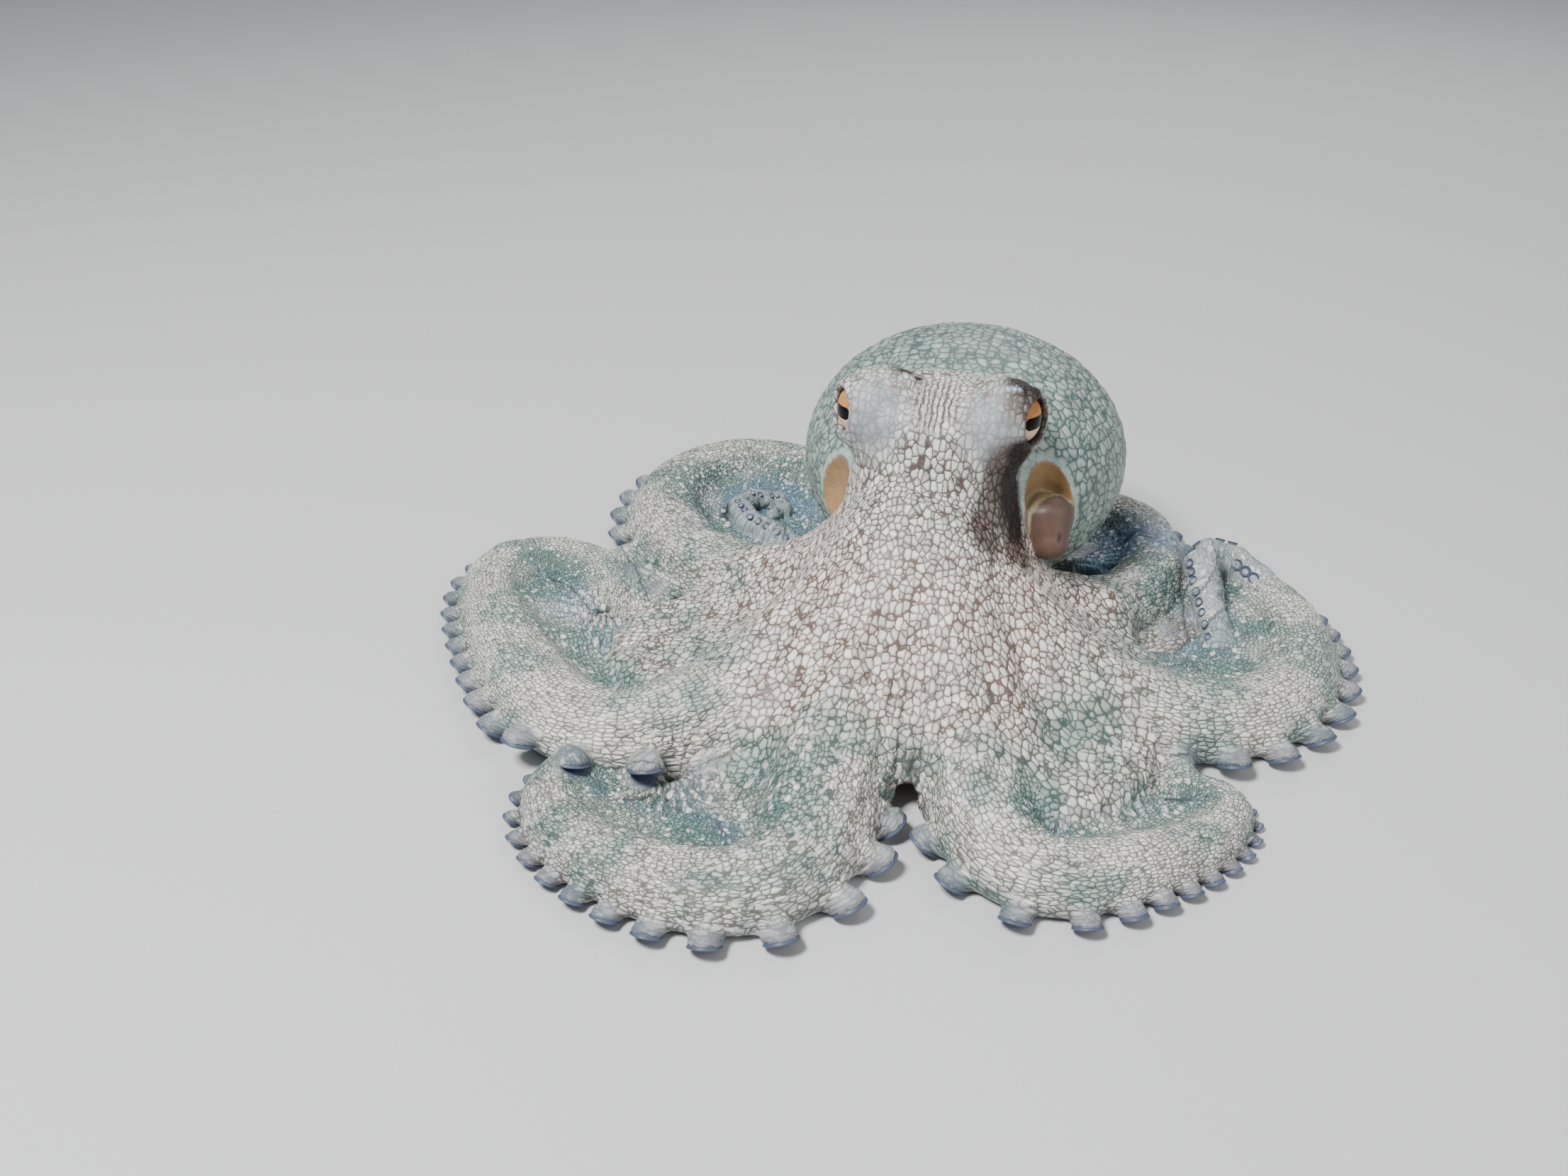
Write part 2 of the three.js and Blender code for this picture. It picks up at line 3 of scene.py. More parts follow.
import bpy
import numpy as np
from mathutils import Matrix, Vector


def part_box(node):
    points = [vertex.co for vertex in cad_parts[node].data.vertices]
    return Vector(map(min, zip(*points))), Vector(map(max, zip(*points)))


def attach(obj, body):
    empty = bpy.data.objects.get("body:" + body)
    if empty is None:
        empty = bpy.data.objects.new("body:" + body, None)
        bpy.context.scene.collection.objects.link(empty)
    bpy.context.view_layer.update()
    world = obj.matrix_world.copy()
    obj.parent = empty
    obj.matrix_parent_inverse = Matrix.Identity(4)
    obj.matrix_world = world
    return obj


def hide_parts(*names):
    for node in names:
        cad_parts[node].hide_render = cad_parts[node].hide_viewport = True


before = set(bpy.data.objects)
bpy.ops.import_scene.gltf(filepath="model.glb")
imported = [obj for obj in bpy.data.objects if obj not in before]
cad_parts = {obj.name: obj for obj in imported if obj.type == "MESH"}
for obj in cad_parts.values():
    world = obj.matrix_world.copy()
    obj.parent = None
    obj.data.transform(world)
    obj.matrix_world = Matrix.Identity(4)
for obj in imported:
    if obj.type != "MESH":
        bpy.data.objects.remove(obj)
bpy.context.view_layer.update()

import openvdb
from mathutils import Vector, noise

# An octopus at rest. One skin covers mantle, head, web, siphon and arms; the
# two eyes are pieces of their own. Lengths are in millimetres, in the frame the
# animal was drawn in, until placed() turns them into the model's metres.

MM = 0.001
VOXEL = 0.8
GRID_LOW = np.array([-162.0, -136.0, -2.0])
GRID_HIGH = np.array([131.0, 161.0, 98.0])
OUTSIDE = 30.0                     # field value far from any flesh

# ------------------------------------------------------------ driving sizes
CROWN_Y = -4.0                     # the crown, from which the arms run out, is at x 0
ARM_START = 12.0                   # radius at which the arms' middle lines start
ARM_ROOT_END = 55.0                # length of arm inside the web
# Stretches are (length, degrees turned); width is the half-width on the outer
# side, inner is how many times wider the side of the curl is, rise is the
# height added at the crown, and side is +1 where the outer side lies to the left.
ARMS = {
    "r1": dict(azimuth=-112.7, width=17, inner=2.6, rise=46, side=1,
               stretches=[(76, 15), (33, -75), (65, -93), (47, -253)]),
    "r2": dict(azimuth=-144.8, width=17, inner=2.6, rise=48, side=1,
               stretches=[(62, 0), (44, -74), (78, -40), (46, -134), (36, -63)]),
    "r3": dict(azimuth=159.7, width=16, inner=2.0, rise=44, side=1,
               stretches=[(69, -16), (78, -75), (57, -107), (60, -86), (21, -56)]),
    "r4": dict(azimuth=105, width=11.5, inner=1.2, rise=30, side=-1,
               stretches=[(60, -12), (55, -3), (35, 120), (35, 190)]),
    "l1": dict(azimuth=-67.3, width=16, inner=2.4, rise=44, side=-1,
               stretches=[(69, 12), (24, 73), (51, 59), (33, 189)]),
    "l2": dict(azimuth=-22.1, width=16, inner=2.4, rise=38, side=-1,
               stretches=[(60, 29), (52, 69), (64, 83), (20, 99), (26, 72)]),
    "l3": dict(azimuth=21.2, width=14, inner=1.6, rise=30, side=-1,
               stretches=[(69, 47), (57, 64), (40, 119), (36, 158)]),
    "l4": dict(azimuth=75, width=11.5, inner=1.2, rise=30, side=1,
               stretches=[(60, 12), (62, 3), (35, -120), (35, -190)]),
}
ARM_FULL_WIDTH = 17.0
ARM_TAPER = 0.6                    # powers with which width and height fall to the tip
ARM_CREST_TAPER = 0.5
ARM_TIP_WIDTH = 1.1
ARM_BEND_FILL = 0.88               # share of a bend's radius that the inner side may fill
ARM_BEND_REACH = 8                 # the bend felt is the sharpest within this length
ARM_BEND_LEAST = 1e-3
ARM_CREST = 20.0                   # height of an arm where it leaves the web
ARM_RISE_LENGTH = 30.0
ARM_RISE_POWER = 1.4
ARM_ARCH = 9.0                     # height of the hollow under an arm's root
ARM_ARCH_LENGTH = 42.0
ARM_ARCH_POWER = 1.5
ARM_FLANK = 0.25                   # share of the height that is steep flank
ARM_FOOT = 0.8                     # width at the ground against the full width
DOME_POWER = 2.5                   # roundness of the section above the flank
TUBE_INNER = 1.15                  # the tube's inner half-width against its outer one
SKIN_THIN = 3.4                    # thickness of the skin inside a curl, and its most
SKIN_THIN_SHARE = 0.4              # against the arm's height
SKIN_SHARE = 0.84                  # height at which that skin leaves the arm
SKIN_HOLLOW = 1.6                  # how hollow its fall is
SKIN_EDGE = 1.5
SKIN_OVERLAP = 0.5                 # how far it runs in under the outer side
TUBE_BLEND, TUBE_BLEND_SHARE = 5.0, 0.25

# Finding an arm's nearest place: weight of a miss along it, what counts as
# none, the furthest shift to either side, and points taken at one time.
FOOT_MISS = 8.0
FOOT_NEAR = 0.6
FOOT_SHIFT = 1.5
FOOT_STRETCH_LEAST = 0.1
FEET_AT_ONCE = 4000
ARM_REACH = 16.0                   # flesh of an arm is looked for this far outside it
ARM_CUT, ARM_CUT_SLOPE = 6.0, 0.7

SUCKER_RIM = 5.5                   # rim radius of the largest
SUCKER_FADE = 2.2                  # power with which the rims shrink to the tip
SUCKER_PITCH = 2.4                 # spacing in rim radii
SUCKER_SMALLEST = 0.9
SUCKER_TILT = 56.0                 # degrees the cups look down
SUCKER_STANDOFF = 0.85             # past the arm's edge, in rim radii
SUCKER_NEAR = 0.3                  # the same beside the arm's root
SUCKER_NEAR_END, SUCKER_FAR = 50, 85
SUCKER_ROOT = 2.4                  # how far in the stalk starts, in rim radii
SUCKER_ROOT_HIGH, SUCKER_ROOT_SHARE = 1.1, 0.5
SUCKER_WAIST = 0.84
SUCKER_BLEND = 0.6
CUP_EDGE, CUP_ROUND, CUP_DEPTH = 0.06, 0.12, 0.5
# Where suckers lie on a neighbour's curl: middle and reach along the arm, and lift.
SUCKER_LIFTS = {"r2": (86, 26, 6.5), "l2": (60, 22, 2.5)}
SUCKER_DROOP = 12.0                # degrees the lifted suckers hang further down
SUCKER_PROFILE = [                 # back from the rim and radius, both in rim radii
    (0.6, 0.6), (0.42, 0.7), (0.26, 0.82), (0.14, 0.93), (0.05, 0.99), (0.0, 1.0),
    (-0.02, 0.96), (0.02, 0.89), (0.1, 0.8), (0.24, 0.66), (0.42, 0.46), (0.5, 0.25),
    (0.52, 0.05)]
SUCKER_AROUND = 24

# Skin gathered inside the curls: centre and radius of each bowl.
CURLS = {"r1": (-54, -80, 28), "l1": (60, -54, 23), "r2": (-110, 12, 28), "r3": (-64, 80, 30),
         "l2": (76, 33, 27), "l3": (45, 86, 21)}
CURL_SKIN = 3.6
CURL_RISE = 3.0                    # how much higher the skin stands at the bowl's edge
CURL_EDGE = 2.5
# Middles of the gathered skin, and the arch between the front arms: place and depth.
HUBS = [(-102, 6.5, 1.0), (-57, -69, 1.0), (61, -47, 0.5), (56, 80, 0.25), (6, -63, 0.8)]
HUB_REACH = 19.0
HUB_PLEATS = 24

# Arm tips that lie over the curls: points along each, with the radius there.
TIPS = [
    [(97, 66, 6, 6), (89, 70, 10, 5.8), (81, 67, 13.5, 5.4), (78, 58, 14, 5.2), (80, 48, 11, 5),
     (83, 38, 6.5, 4.6), (85, 31, 2.5, 4)],
    [(-50, 55, 4, 4.6), (-60, 60, 6.5, 4.4), (-70, 66, 7.5, 4.1), (-76, 75, 7.5, 3.8),
     (-73, 84, 7, 3.3), (-65, 86, 6.4, 2.8), (-61, 80, 6, 2.3), (-65, 76, 5.6, 1.7)],
]
TIP_FACING = [(-0.75, -0.1, 0.65), (0.1, -0.55, 0.83)]       # the way their suckers look
TIP_CUP_PITCH = 3.2
TIP_CUP_RIM = 0.3                  # against the radius of the tip
TIP_CUP_STANDOFF = 0.35

WEB_HEIGHT = 52.0
WEB_FALL = 42.0                    # radius by which the bell has fallen to about a third
WEB_FALL_POWER = 1.5
WEB_BASE = 8.0
WEB_FLOOR = 2.5
WEB_EDGE, WEB_UNDER = 9.0, 2.0     # rounding of the margin and of the under side
MOUTH_RADIUS = 13.0
MOUTH_ROOF = 9.0
# Azimuth in degrees, radius of the margin, height of the arch under it.
WEB_MARGIN = [(-172, 94, 0), (-130, 68, 0), (-91, 58, 10), (-46, 82, 0), (0, 70, 0),
              (50, 50, 0), (90, 34, 0), (134, 52, 0)]

HEAD_SHIFT = -0.8                  # the head's middle in x
# Height, half-width, front and back of the neck and head.
HEAD_PROFILE = np.array([
    (34, 33, -27, 24), (42, 29, -20.5, 27), (50, 26, -16, 29), (58, 24, -13, 30),
    (66, 22.5, -11, 31), (74, 22.5, -9.5, 31), (82, 20.5, -7.5, 29),
    (87, 15.5, -3, 26), (89, 8, 4, 21)], float)
HEAD_POWER = 2 / 0.86
BROW = dict(x=16.5, y=9, z=79, r=(11.5, 14, 13))
EYE = dict(x=19.8, y=6, z=81.8, lift=0.8, radius=8.2)
EYE_LOOK_UP = 0.06
EYE_AROUND, EYE_ROWS = 96, 64
EYE_SHRINK = 0.05
GAZE = {-1: 30.0, 1: 22.0}         # degrees each eye looks forward of sideways
EYE_OPENING = 6.0                  # radius of the lids' opening
EYE_CLEAR = 0.15                   # room between ball and flesh
LID_RADIUS = 1.2
LID_INSET = 0.7
LID_THICK = 1.1
# Soft papillae over the eyes: place and radius.
PAPILLAE = [((-10.8, 7.2, 90.2), 2.6), ((-8.6, 5.0, 89.4), 1.7), ((-13.2, 8.6, 90.6), 1.9),
            ((-12.4, 2.4, 88.8), 1.1), ((-18.8, 2.4, 90.0), 1.3), ((-6.8, 8.4, 88.8), 1.5),
            ((12.6, 1.7, 89.1), 1.1), ((16.4, 4.6, 91.4), 2.6), ((19.6, 3.4, 90.6), 2.4),
            ((22.4, 4.4, 88.6), 2.2), ((13.4, 6.4, 91.0), 1.7)]

MANTLE = dict(at=(2, 51, 47), r=(49, 54, 38.5), sag=0.12, tilt=6)
POCKETS = [dict(at=(-33, 8, 52), r=(6.5, 9, 14), lean=14),
           dict(at=(32.5, 8, 54), r=(7.5, 10, 16), lean=-10)]
LIP_RADIUS = 1.5                   # roll of skin round the mantle's openings
LIP_OUT, LIP_IN = 0.3, 0.8
SIPHON = dict(base=(31, 11, 49.5), tip=(34.3, 3, 41.5), wide=8.0, round=4.9)

# Lengths over which each joint of flesh is rounded.
ROUND = dict(lip=1.5, pocket=1.2, mantle=1.0, neck=5.0, curl=4.0, tip=1.2, brow=5.0,
             papilla=1.6, hood=3.0, body=1.2, siphon=1.5, lid=3.0, ball=0.4, bore=0.8,
             bore_back=1.0, ground=0.5)
BLEND_CROWN, BLEND_WEB, BLEND_FAR = 4.0, 9.0, 2.0        # arms into the web, going outwards
BLEND_STEPS = (22, 45), (60, 92)
# Stretches of ground over which parts of the body stand.
MANTLE_AREA = (-70, 70), (-14, 116)
HEAD_AREA = (-45, 45), (-25, 45)
SIPHON_AREA = (10, 50), (-10, 30)
WEB_AREA_SPARE = 1.2
ARM_AREA_SPARE, CURL_AREA_SPARE, TIP_AREA_SPARE = 46, 6, 12

# ------------------------------------------------------------- the camera
CAMERA_AT = (44.663, -374.559, 254.433)
CAMERA_AHEAD = (-0.19448, 0.83523, -0.51436)
CAMERA_LENS, CAMERA_SENSOR = 35, 36


# ----------------------------------------------------------------- helpers
def smooth_step(value, low, high):
    """0 below low, 1 above high, eased between."""
    t = np.clip((value - low) / (high - low), 0, 1)
    return t * t * (3 - 2 * t)


def mix(a, b, share):
    return a + (b - a) * share


def smooth_min(a, b, k):
    """Join two fields, rounding the valley between them over k."""
    h = np.maximum(k - np.abs(a - b), 0) / k
    return np.minimum(a, b) - h * h * k / 4


def smooth_max(a, b, k):
    return -smooth_min(-a, -b, k)


def ellipsoid_field(x, y, z, radii):
    """About the distance to an ellipsoid round the origin."""
    qx, qy, qz = x / radii[0], y / radii[1], z / radii[2]
    k0 = np.sqrt(qx * qx + qy * qy + qz * qz)
    k1 = np.sqrt((qx / radii[0]) ** 2 + (qy / radii[1]) ** 2 + (qz / radii[2]) ** 2)
    return k0 * (k0 - 1) / np.maximum(k1, 1e-6)


# ------------------------------------------------------------------- arms
class Arm:
    """The middle line of an arm in steps of 1 mm, with its section at each."""

    def __init__(self, name):
        facts = ARMS[name]
        self.name, self.side, self.width = name, facts["side"], facts["width"]
        lengths = np.array([length for length, _ in facts["stretches"]], float)
        turns = np.array([turn for _, turn in facts["stretches"]], float)
        knots = np.concatenate([[0], np.cumsum(lengths)])
        totals = np.concatenate([[0], np.cumsum(turns)])
        rates = turns / lengths
        slopes = np.concatenate([rates[:1], (rates[:-1] + rates[1:]) / 2, rates[-1:]])

        def turned(s):
            i = np.clip(np.searchsorted(knots, s, side="left") - 1, 0, len(rates) - 1)
            h = lengths[i]
            u = (s - knots[i]) / h
            return (totals[i] * (1 + 2 * u) * (1 - u) ** 2 + slopes[i] * h * u * (1 - u) ** 2
                    + totals[i + 1] * u * u * (3 - 2 * u) + slopes[i + 1] * h * u * u * (u - 1))

        whole = int(knots[-1])
        self.s = np.arange(whole + 1, dtype=float)
        self.length = whole - 1
        self.heading = np.radians(facts["azimuth"] + turned(self.s))
        ahead = np.radians(facts["azimuth"] + turned(np.minimum(self.s + 1, whole)))
        middle = (self.heading + ahead) / 2
        start = math.radians(facts["azimuth"])
        along_x = np.concatenate([[0], np.cumsum(np.cos(middle))[:-1]])
        along_y = np.concatenate([[0], np.cumsum(np.sin(middle))[:-1]])
        self.x = ARM_START * math.cos(start) + along_x
        self.y = CROWN_Y + ARM_START * math.sin(start) + along_y
        self.turn = ahead - self.heading
        bend = np.abs(self.turn)
        reach = [np.interp(self.s + shift, self.s, bend)
                 for shift in (-ARM_BEND_REACH, -ARM_BEND_REACH / 2, 0, ARM_BEND_REACH / 2,
                               ARM_BEND_REACH)]
        bend = np.maximum(np.max(reach, axis=0), ARM_BEND_LEAST)
        left = np.maximum(1 - self.s / self.length, 0)
        self.outer = np.maximum(facts["width"] * left ** ARM_TAPER, ARM_TIP_WIDTH)
        self.inner = np.maximum(np.minimum(self.outer * facts["inner"], ARM_BEND_FILL / bend),
                                ARM_TIP_WIDTH)
        rise = facts["rise"] * np.exp(-((self.s / ARM_RISE_LENGTH) ** ARM_RISE_POWER))
        self.crest = np.maximum(ARM_CREST * left ** ARM_CREST_TAPER, 2 * ARM_TIP_WIDTH) + rise
        self.floor = ARM_ARCH * np.maximum(1 - self.s / ARM_ARCH_LENGTH, 0) ** ARM_ARCH_POWER

    def at(self, key, s):
        return np.interp(s, self.s, getattr(self, key))

    def feet(self, px, py):
        """Each point of ground as distances along and across the arm, and how far outside."""
        s, across, miss = (np.empty(len(px)) for _ in range(3))
        cos, sin = np.cos(self.heading), np.sin(self.heading)
        for i in range(0, len(px), FEET_AT_ONCE):
            batch = slice(i, i + FEET_AT_ONCE)
            dx = px[batch, None] - self.x
            dy = py[batch, None] - self.y
            along = dx * cos + dy * sin
            aside = self.side * (dy * cos - dx * sin)
            half = np.where(aside > 0, self.outer, self.inner)
            score = np.abs(aside) - half + FOOT_MISS * np.maximum(np.abs(along) - FOOT_NEAR, 0)
            best = score.argmin(1)
            rows = np.arange(len(best))
            a, t = aside[rows, best], along[rows, best]
            stretch = 1 - self.turn[best] * self.side * a
            shift = np.clip(t / np.maximum(stretch, FOOT_STRETCH_LEAST), -FOOT_SHIFT, FOOT_SHIFT)
            place = best + shift
            past_end = ((place < 0) | (place > self.length)) & (np.abs(t) > 1)
            over = np.where(past_end, np.abs(t), 0)
            s[batch] = np.clip(place, 0, self.length)
            across[batch] = np.where(a >= 0, 1, -1) * np.hypot(a, over)
            miss[batch] = np.hypot(np.maximum(np.abs(a) - half[rows, best], 0), over)
        return s, across, miss

    def sucker_rim(self, s):
        return (SUCKER_RIM * (self.width / ARM_FULL_WIDTH)
                * (1 - np.clip(s / self.length, 0, 1) ** SUCKER_FADE))

    def sucker_row(self):
        row = []
        s = ARM_ROOT_END + SUCKER_RIM * SUCKER_PITCH / 2
        while self.sucker_rim(s) > SUCKER_SMALLEST and s < self.length:
            row.append(s)
            s += SUCKER_PITCH * self.sucker_rim(s + 2)
        return row


PATHS = {name: Arm(name) for name in ARMS}


def arm_dome(arm, s, across, z):
    """Field of an arm's section: a tube flat below, and the skin from its inner side."""
    crest, floor = arm.at("crest", s)[:, None], arm.at("floor", s)[:, None]
    outer, inner = arm.at("outer", s)[:, None], arm.at("inner", s)[:, None]
    across = across[:, None]
    half = np.where(across > 0, outer, np.minimum(inner, TUBE_INNER * outer))
    flank = ARM_FLANK * (crest - floor)
    high = crest - floor - flank
    foot = mix(ARM_FOOT, 1.0, np.clip((z - floor) / flank, 0, 1))
    a = np.maximum(np.abs(across) / (half * foot), 1e-4)
    u = np.maximum((z - floor - flank) / high, 0)
    root = np.sqrt(a ** 2 + u ** DOME_POWER)
    slope = np.hypot(a / half, DOME_POWER / 2 * u ** (DOME_POWER - 1) / high)
    tube = (root - 1) * root / np.maximum(slope, 0.01)
    # the skin falls in a hollow curve from near the crest to the ground
    t = np.clip(-across / inner, 0, 1)
    thin = np.minimum(SKIN_THIN, SKIN_THIN_SHARE * crest)
    drop = SKIN_SHARE * (crest - floor) - thin
    top = floor + thin + drop * (1 - t) ** SKIN_HOLLOW
    steep = SKIN_HOLLOW * drop * (1 - t) ** (SKIN_HOLLOW - 1) / inner
    sheet = (z - top) / np.sqrt(1 + steep ** 2)
    sheet = smooth_max(sheet, -across - inner, SKIN_EDGE)
    sheet = np.maximum(sheet, across - SKIN_OVERLAP * outer)
    d = smooth_min(tube, sheet, np.minimum(TUBE_BLEND, TUBE_BLEND_SHARE * crest))
    return smooth_max(d, floor - z, SKIN_EDGE)


def curl_field(name, x, y, z):
    """A dished sheet of skin on the ground inside a curl."""
    cx, cy, radius = CURLS[name]
    off = np.hypot(x - cx, y - cy)[:, None]
    top = CURL_SKIN + CURL_RISE * np.clip(off / radius, 0, 1.2) ** 2
    return smooth_max(z - top, off - radius, CURL_EDGE)


def tip_field(tip, x, y, z):
    """A tapering rope through the points of an arm tip."""
    best = np.full((len(x), z.shape[-1]), OUTSIDE)
    for a, b in zip(tip[:-1], tip[1:]):
        start, way = np.array(a[:3], float), np.array(b[:3], float) - np.array(a[:3], float)
        d = (x[:, None] - start[0], y[:, None] - start[1], z - start[2])
        share = np.clip(sum(p * q for p, q in zip(d, way)) / (way @ way), 0, 1)
        off = np.sqrt(sum((p - share * q) ** 2 for p, q in zip(d, way)))
        best = smooth_min(best, off - mix(a[3], b[3], share), 1.0)
    return best


# ------------------------------------------------------------- crown, head
def web_margin(azimuth):
    """Margin radius and arch of the web at an azimuth in degrees."""
    start = WEB_MARGIN[0][0]
    rows = WEB_MARGIN + [(start + 360,) + WEB_MARGIN[0][1:]]
    wrapped = (azimuth - start) % 360 + start
    radius, arch = np.zeros_like(wrapped), np.zeros_like(wrapped)
    for a, b in zip(rows[:-1], rows[1:]):
        inside = (wrapped >= a[0]) & (wrapped <= b[0])
        share = smooth_step(wrapped, a[0], b[0])
        radius = np.where(inside, mix(a[1], b[1], share), radius)
        arch = np.where(inside, mix(a[2], b[2], share), arch)
    return radius, arch


def web_field(x, y, z):
    """The bell of skin round the crown."""
    r = np.hypot(x, y - CROWN_Y)
    margin, arch = web_margin(np.degrees(np.arctan2(y - CROWN_Y, x)))
    fall = np.exp(-((r / WEB_FALL) ** WEB_FALL_POWER))
    top = WEB_BASE + (WEB_HEIGHT - WEB_BASE) * fall
    steep = ((WEB_HEIGHT - WEB_BASE) * fall * WEB_FALL_POWER
             * (r / WEB_FALL) ** (WEB_FALL_POWER - 1) / WEB_FALL)
    over = (z - top[:, None]) / np.sqrt(1 + steep ** 2)[:, None]
    share = np.clip(r / margin, 0, 1)
    past = smooth_step(r, 0.7 * MOUTH_RADIUS, 1.3 * MOUTH_RADIUS)
    under = mix(MOUTH_ROOF, WEB_FLOOR + arch * share ** 2, past)
    d = smooth_max(over, (r - margin)[:, None], WEB_EDGE)
    return smooth_max(d, under[:, None] - z, WEB_UNDER)


def head_table(z):
    """Half-width, middle and half-depth of the neck and head at each height."""
    fine = np.arange(HEAD_PROFILE[0, 0] - 12, HEAD_PROFILE[-1, 0] + 12, 0.5)
    kernel = np.hanning(15)
    kernel /= kernel.sum()
    columns = []
    for k in (1, 2, 3):
        line = np.interp(fine, HEAD_PROFILE[:, 0], HEAD_PROFILE[:, k])
        padded = np.pad(line, 7, mode="edge")
        columns.append(np.interp(z, fine, np.convolve(padded, kernel, "valid")))
    half, front, back = columns
    return half, (front + back) / 2, (back - front) / 2


def column_field(x, y, z):
    """Neck and head: a column of rounded oblongs."""
    half, middle, depth = head_table(z)
    qx = np.abs(x[:, None] - HEAD_SHIFT) / half
    qy = np.abs(y[:, None] - middle) / depth
    g = np.maximum(qx ** HEAD_POWER + qy ** HEAD_POWER, 1e-6)
    root = g ** (1 / HEAD_POWER)
    slope = (root / g) * np.hypot(qx ** (HEAD_POWER - 1) / half, qy ** (HEAD_POWER - 1) / depth)
    d = (root - 1) / np.maximum(slope, 0.01)
    d = smooth_max(d, z - HEAD_PROFILE[-1, 0], 6.0)
    return smooth_max(d, HEAD_PROFILE[0, 0] - 6 - z, 6.0)


def mantle_field(x, y, z):
    """The mantle: an egg-shaped sac, broader behind, its hind end a little sunk."""
    cx, cy, cz = MANTLE["at"]
    rx, ry, rz = MANTLE["r"]
    tilt = math.radians(MANTLE["tilt"])
    dx, dy, dz = x[:, None] - cx, y[:, None] - cy, z - cz
    back = dy * math.cos(tilt) - dz * math.sin(tilt)
    up = dy * math.sin(tilt) + dz * math.cos(tilt)
    b = np.clip(back / ry, -1, 1)
    broad = 1 + MANTLE["sag"] * b * (1 - b * b)
    return ellipsoid_field(dx / broad, back, up / broad, (rx, ry, rz))


def pocket_field(pocket, x, y, z):
    """The hollow inside one of the mantle's two openings."""
    cx, cy, cz = pocket["at"]
    lean = math.radians(pocket["lean"])
    dx, dy, dz = x[:, None] - cx, y[:, None] - cy, z - cz
    across = dx * math.cos(lean) - dz * math.sin(lean)
    up = dx * math.sin(lean) + dz * math.cos(lean)
    return ellipsoid_field(across, dy, up, pocket["r"])


def siphon_field(x, y, z):
    """A rounded cone, wide at its base."""
    base, tip = np.array(SIPHON["base"], float), np.array(SIPHON["tip"], float)
    way = tip - base
    reach = np.linalg.norm(way)
    way /= reach
    reach -= SIPHON["round"]
    dx, dy, dz = x[:, None] - base[0], y[:, None] - base[1], z - base[2]
    along = np.clip((dx * way[0] + dy * way[1] + dz * way[2]) / reach, 0, 1)
    off = [d - along * reach * w for d, w in zip((dx, dy, dz), way)]
    radius = mix(SIPHON["wide"], SIPHON["round"], along)
    return np.sqrt(off[0] ** 2 + off[1] ** 2 + off[2] ** 2) - radius


def eye_frame(side):
    """Centre of an eye, and its gaze."""
    centre = np.array([HEAD_SHIFT + side * EYE["x"], EYE["y"], EYE["z"] + side * EYE["lift"]])
    turn = math.radians(GAZE[side])
    gaze = np.array([side * math.cos(turn), -math.sin(turn), EYE_LOOK_UP])
    return centre, gaze / np.linalg.norm(gaze)


# ---------------------------------------------------------------- the skin
class Flesh:
    """The field of all flesh on a grid of upright columns."""

    def __init__(self):
        self.ax = [np.arange(low, high, VOXEL) for low, high in zip(GRID_LOW, GRID_HIGH)]
        gx, gy = np.meshgrid(self.ax[0], self.ax[1], indexing="ij")
        self.x, self.y, self.z = gx.ravel(), gy.ravel(), self.ax[2].astype(np.float32)
        self.field = np.full((len(self.x), len(self.z)), OUTSIDE, np.float32)

    def near(self, x_range, y_range):
        inside = ((self.x > x_range[0]) & (self.x < x_range[1])
                  & (self.y > y_range[0]) & (self.y < y_range[1]))
        return np.flatnonzero(inside)

    def around(self, xs, ys, spare):
        """Columns within the box of some points and a margin round it."""
        return self.near((min(xs) - spare, max(xs) + spare), (min(ys) - spare, max(ys) + spare))

    def join(self, columns, d, k):
        self.field[columns] = smooth_min(self.field[columns], d.astype(np.float32), k)

    def carve(self, columns, d, k):
        self.field[columns] = smooth_max(self.field[columns], -d.astype(np.float32), k)

    def shape(self, columns):
        return self.x[columns], self.y[columns], self.z

    def mesh(self):
        """Quads on the surface of the field."""
        shape = tuple(len(axis) for axis in self.ax)
        grid = openvdb.FloatGrid(OUTSIDE)
        grid.copyFromArray(self.field.reshape(shape))
        points, quads = grid.convertToQuads(0.0)
        return points * VOXEL + np.array([axis[0] for axis in self.ax]), quads


def near_value(value, middle, reach):
    """1 at the middle, falling to 0 at the reach."""
    return 1 - smooth_step(abs(value - middle), 0.35 * reach, reach)


def sucker_place(arm, s):
    """Rim radius, centre of the rim, and the cup's own directions at one sucker."""
    rim = float(arm.sucker_rim(s))
    heading = float(arm.at("heading", s))
    middle, reach, lift = SUCKER_LIFTS.get(arm.name, (0, 1, 0))
    raised = near_value(s, middle, reach) * (lift > 0)
    tilt = math.radians(SUCKER_TILT + SUCKER_DROOP * raised)
    out = np.array([-math.sin(heading), math.cos(heading), 0]) * arm.side
    axis = out * math.cos(tilt) - np.array([0, 0, math.sin(tilt)])
    along = np.array([math.cos(heading), math.sin(heading), 0])
    away = float(smooth_step(s, SUCKER_NEAR_END, SUCKER_FAR))
    standoff = mix(SUCKER_NEAR, SUCKER_STANDOFF, away)
    centre = (np.array([arm.at("x", s), arm.at("y", s), 0])
              + out * (arm.at("outer", s) + standoff * rim))
    centre[2] = rim * math.cos(tilt) + lift * raised
    return rim, centre, out, axis, along


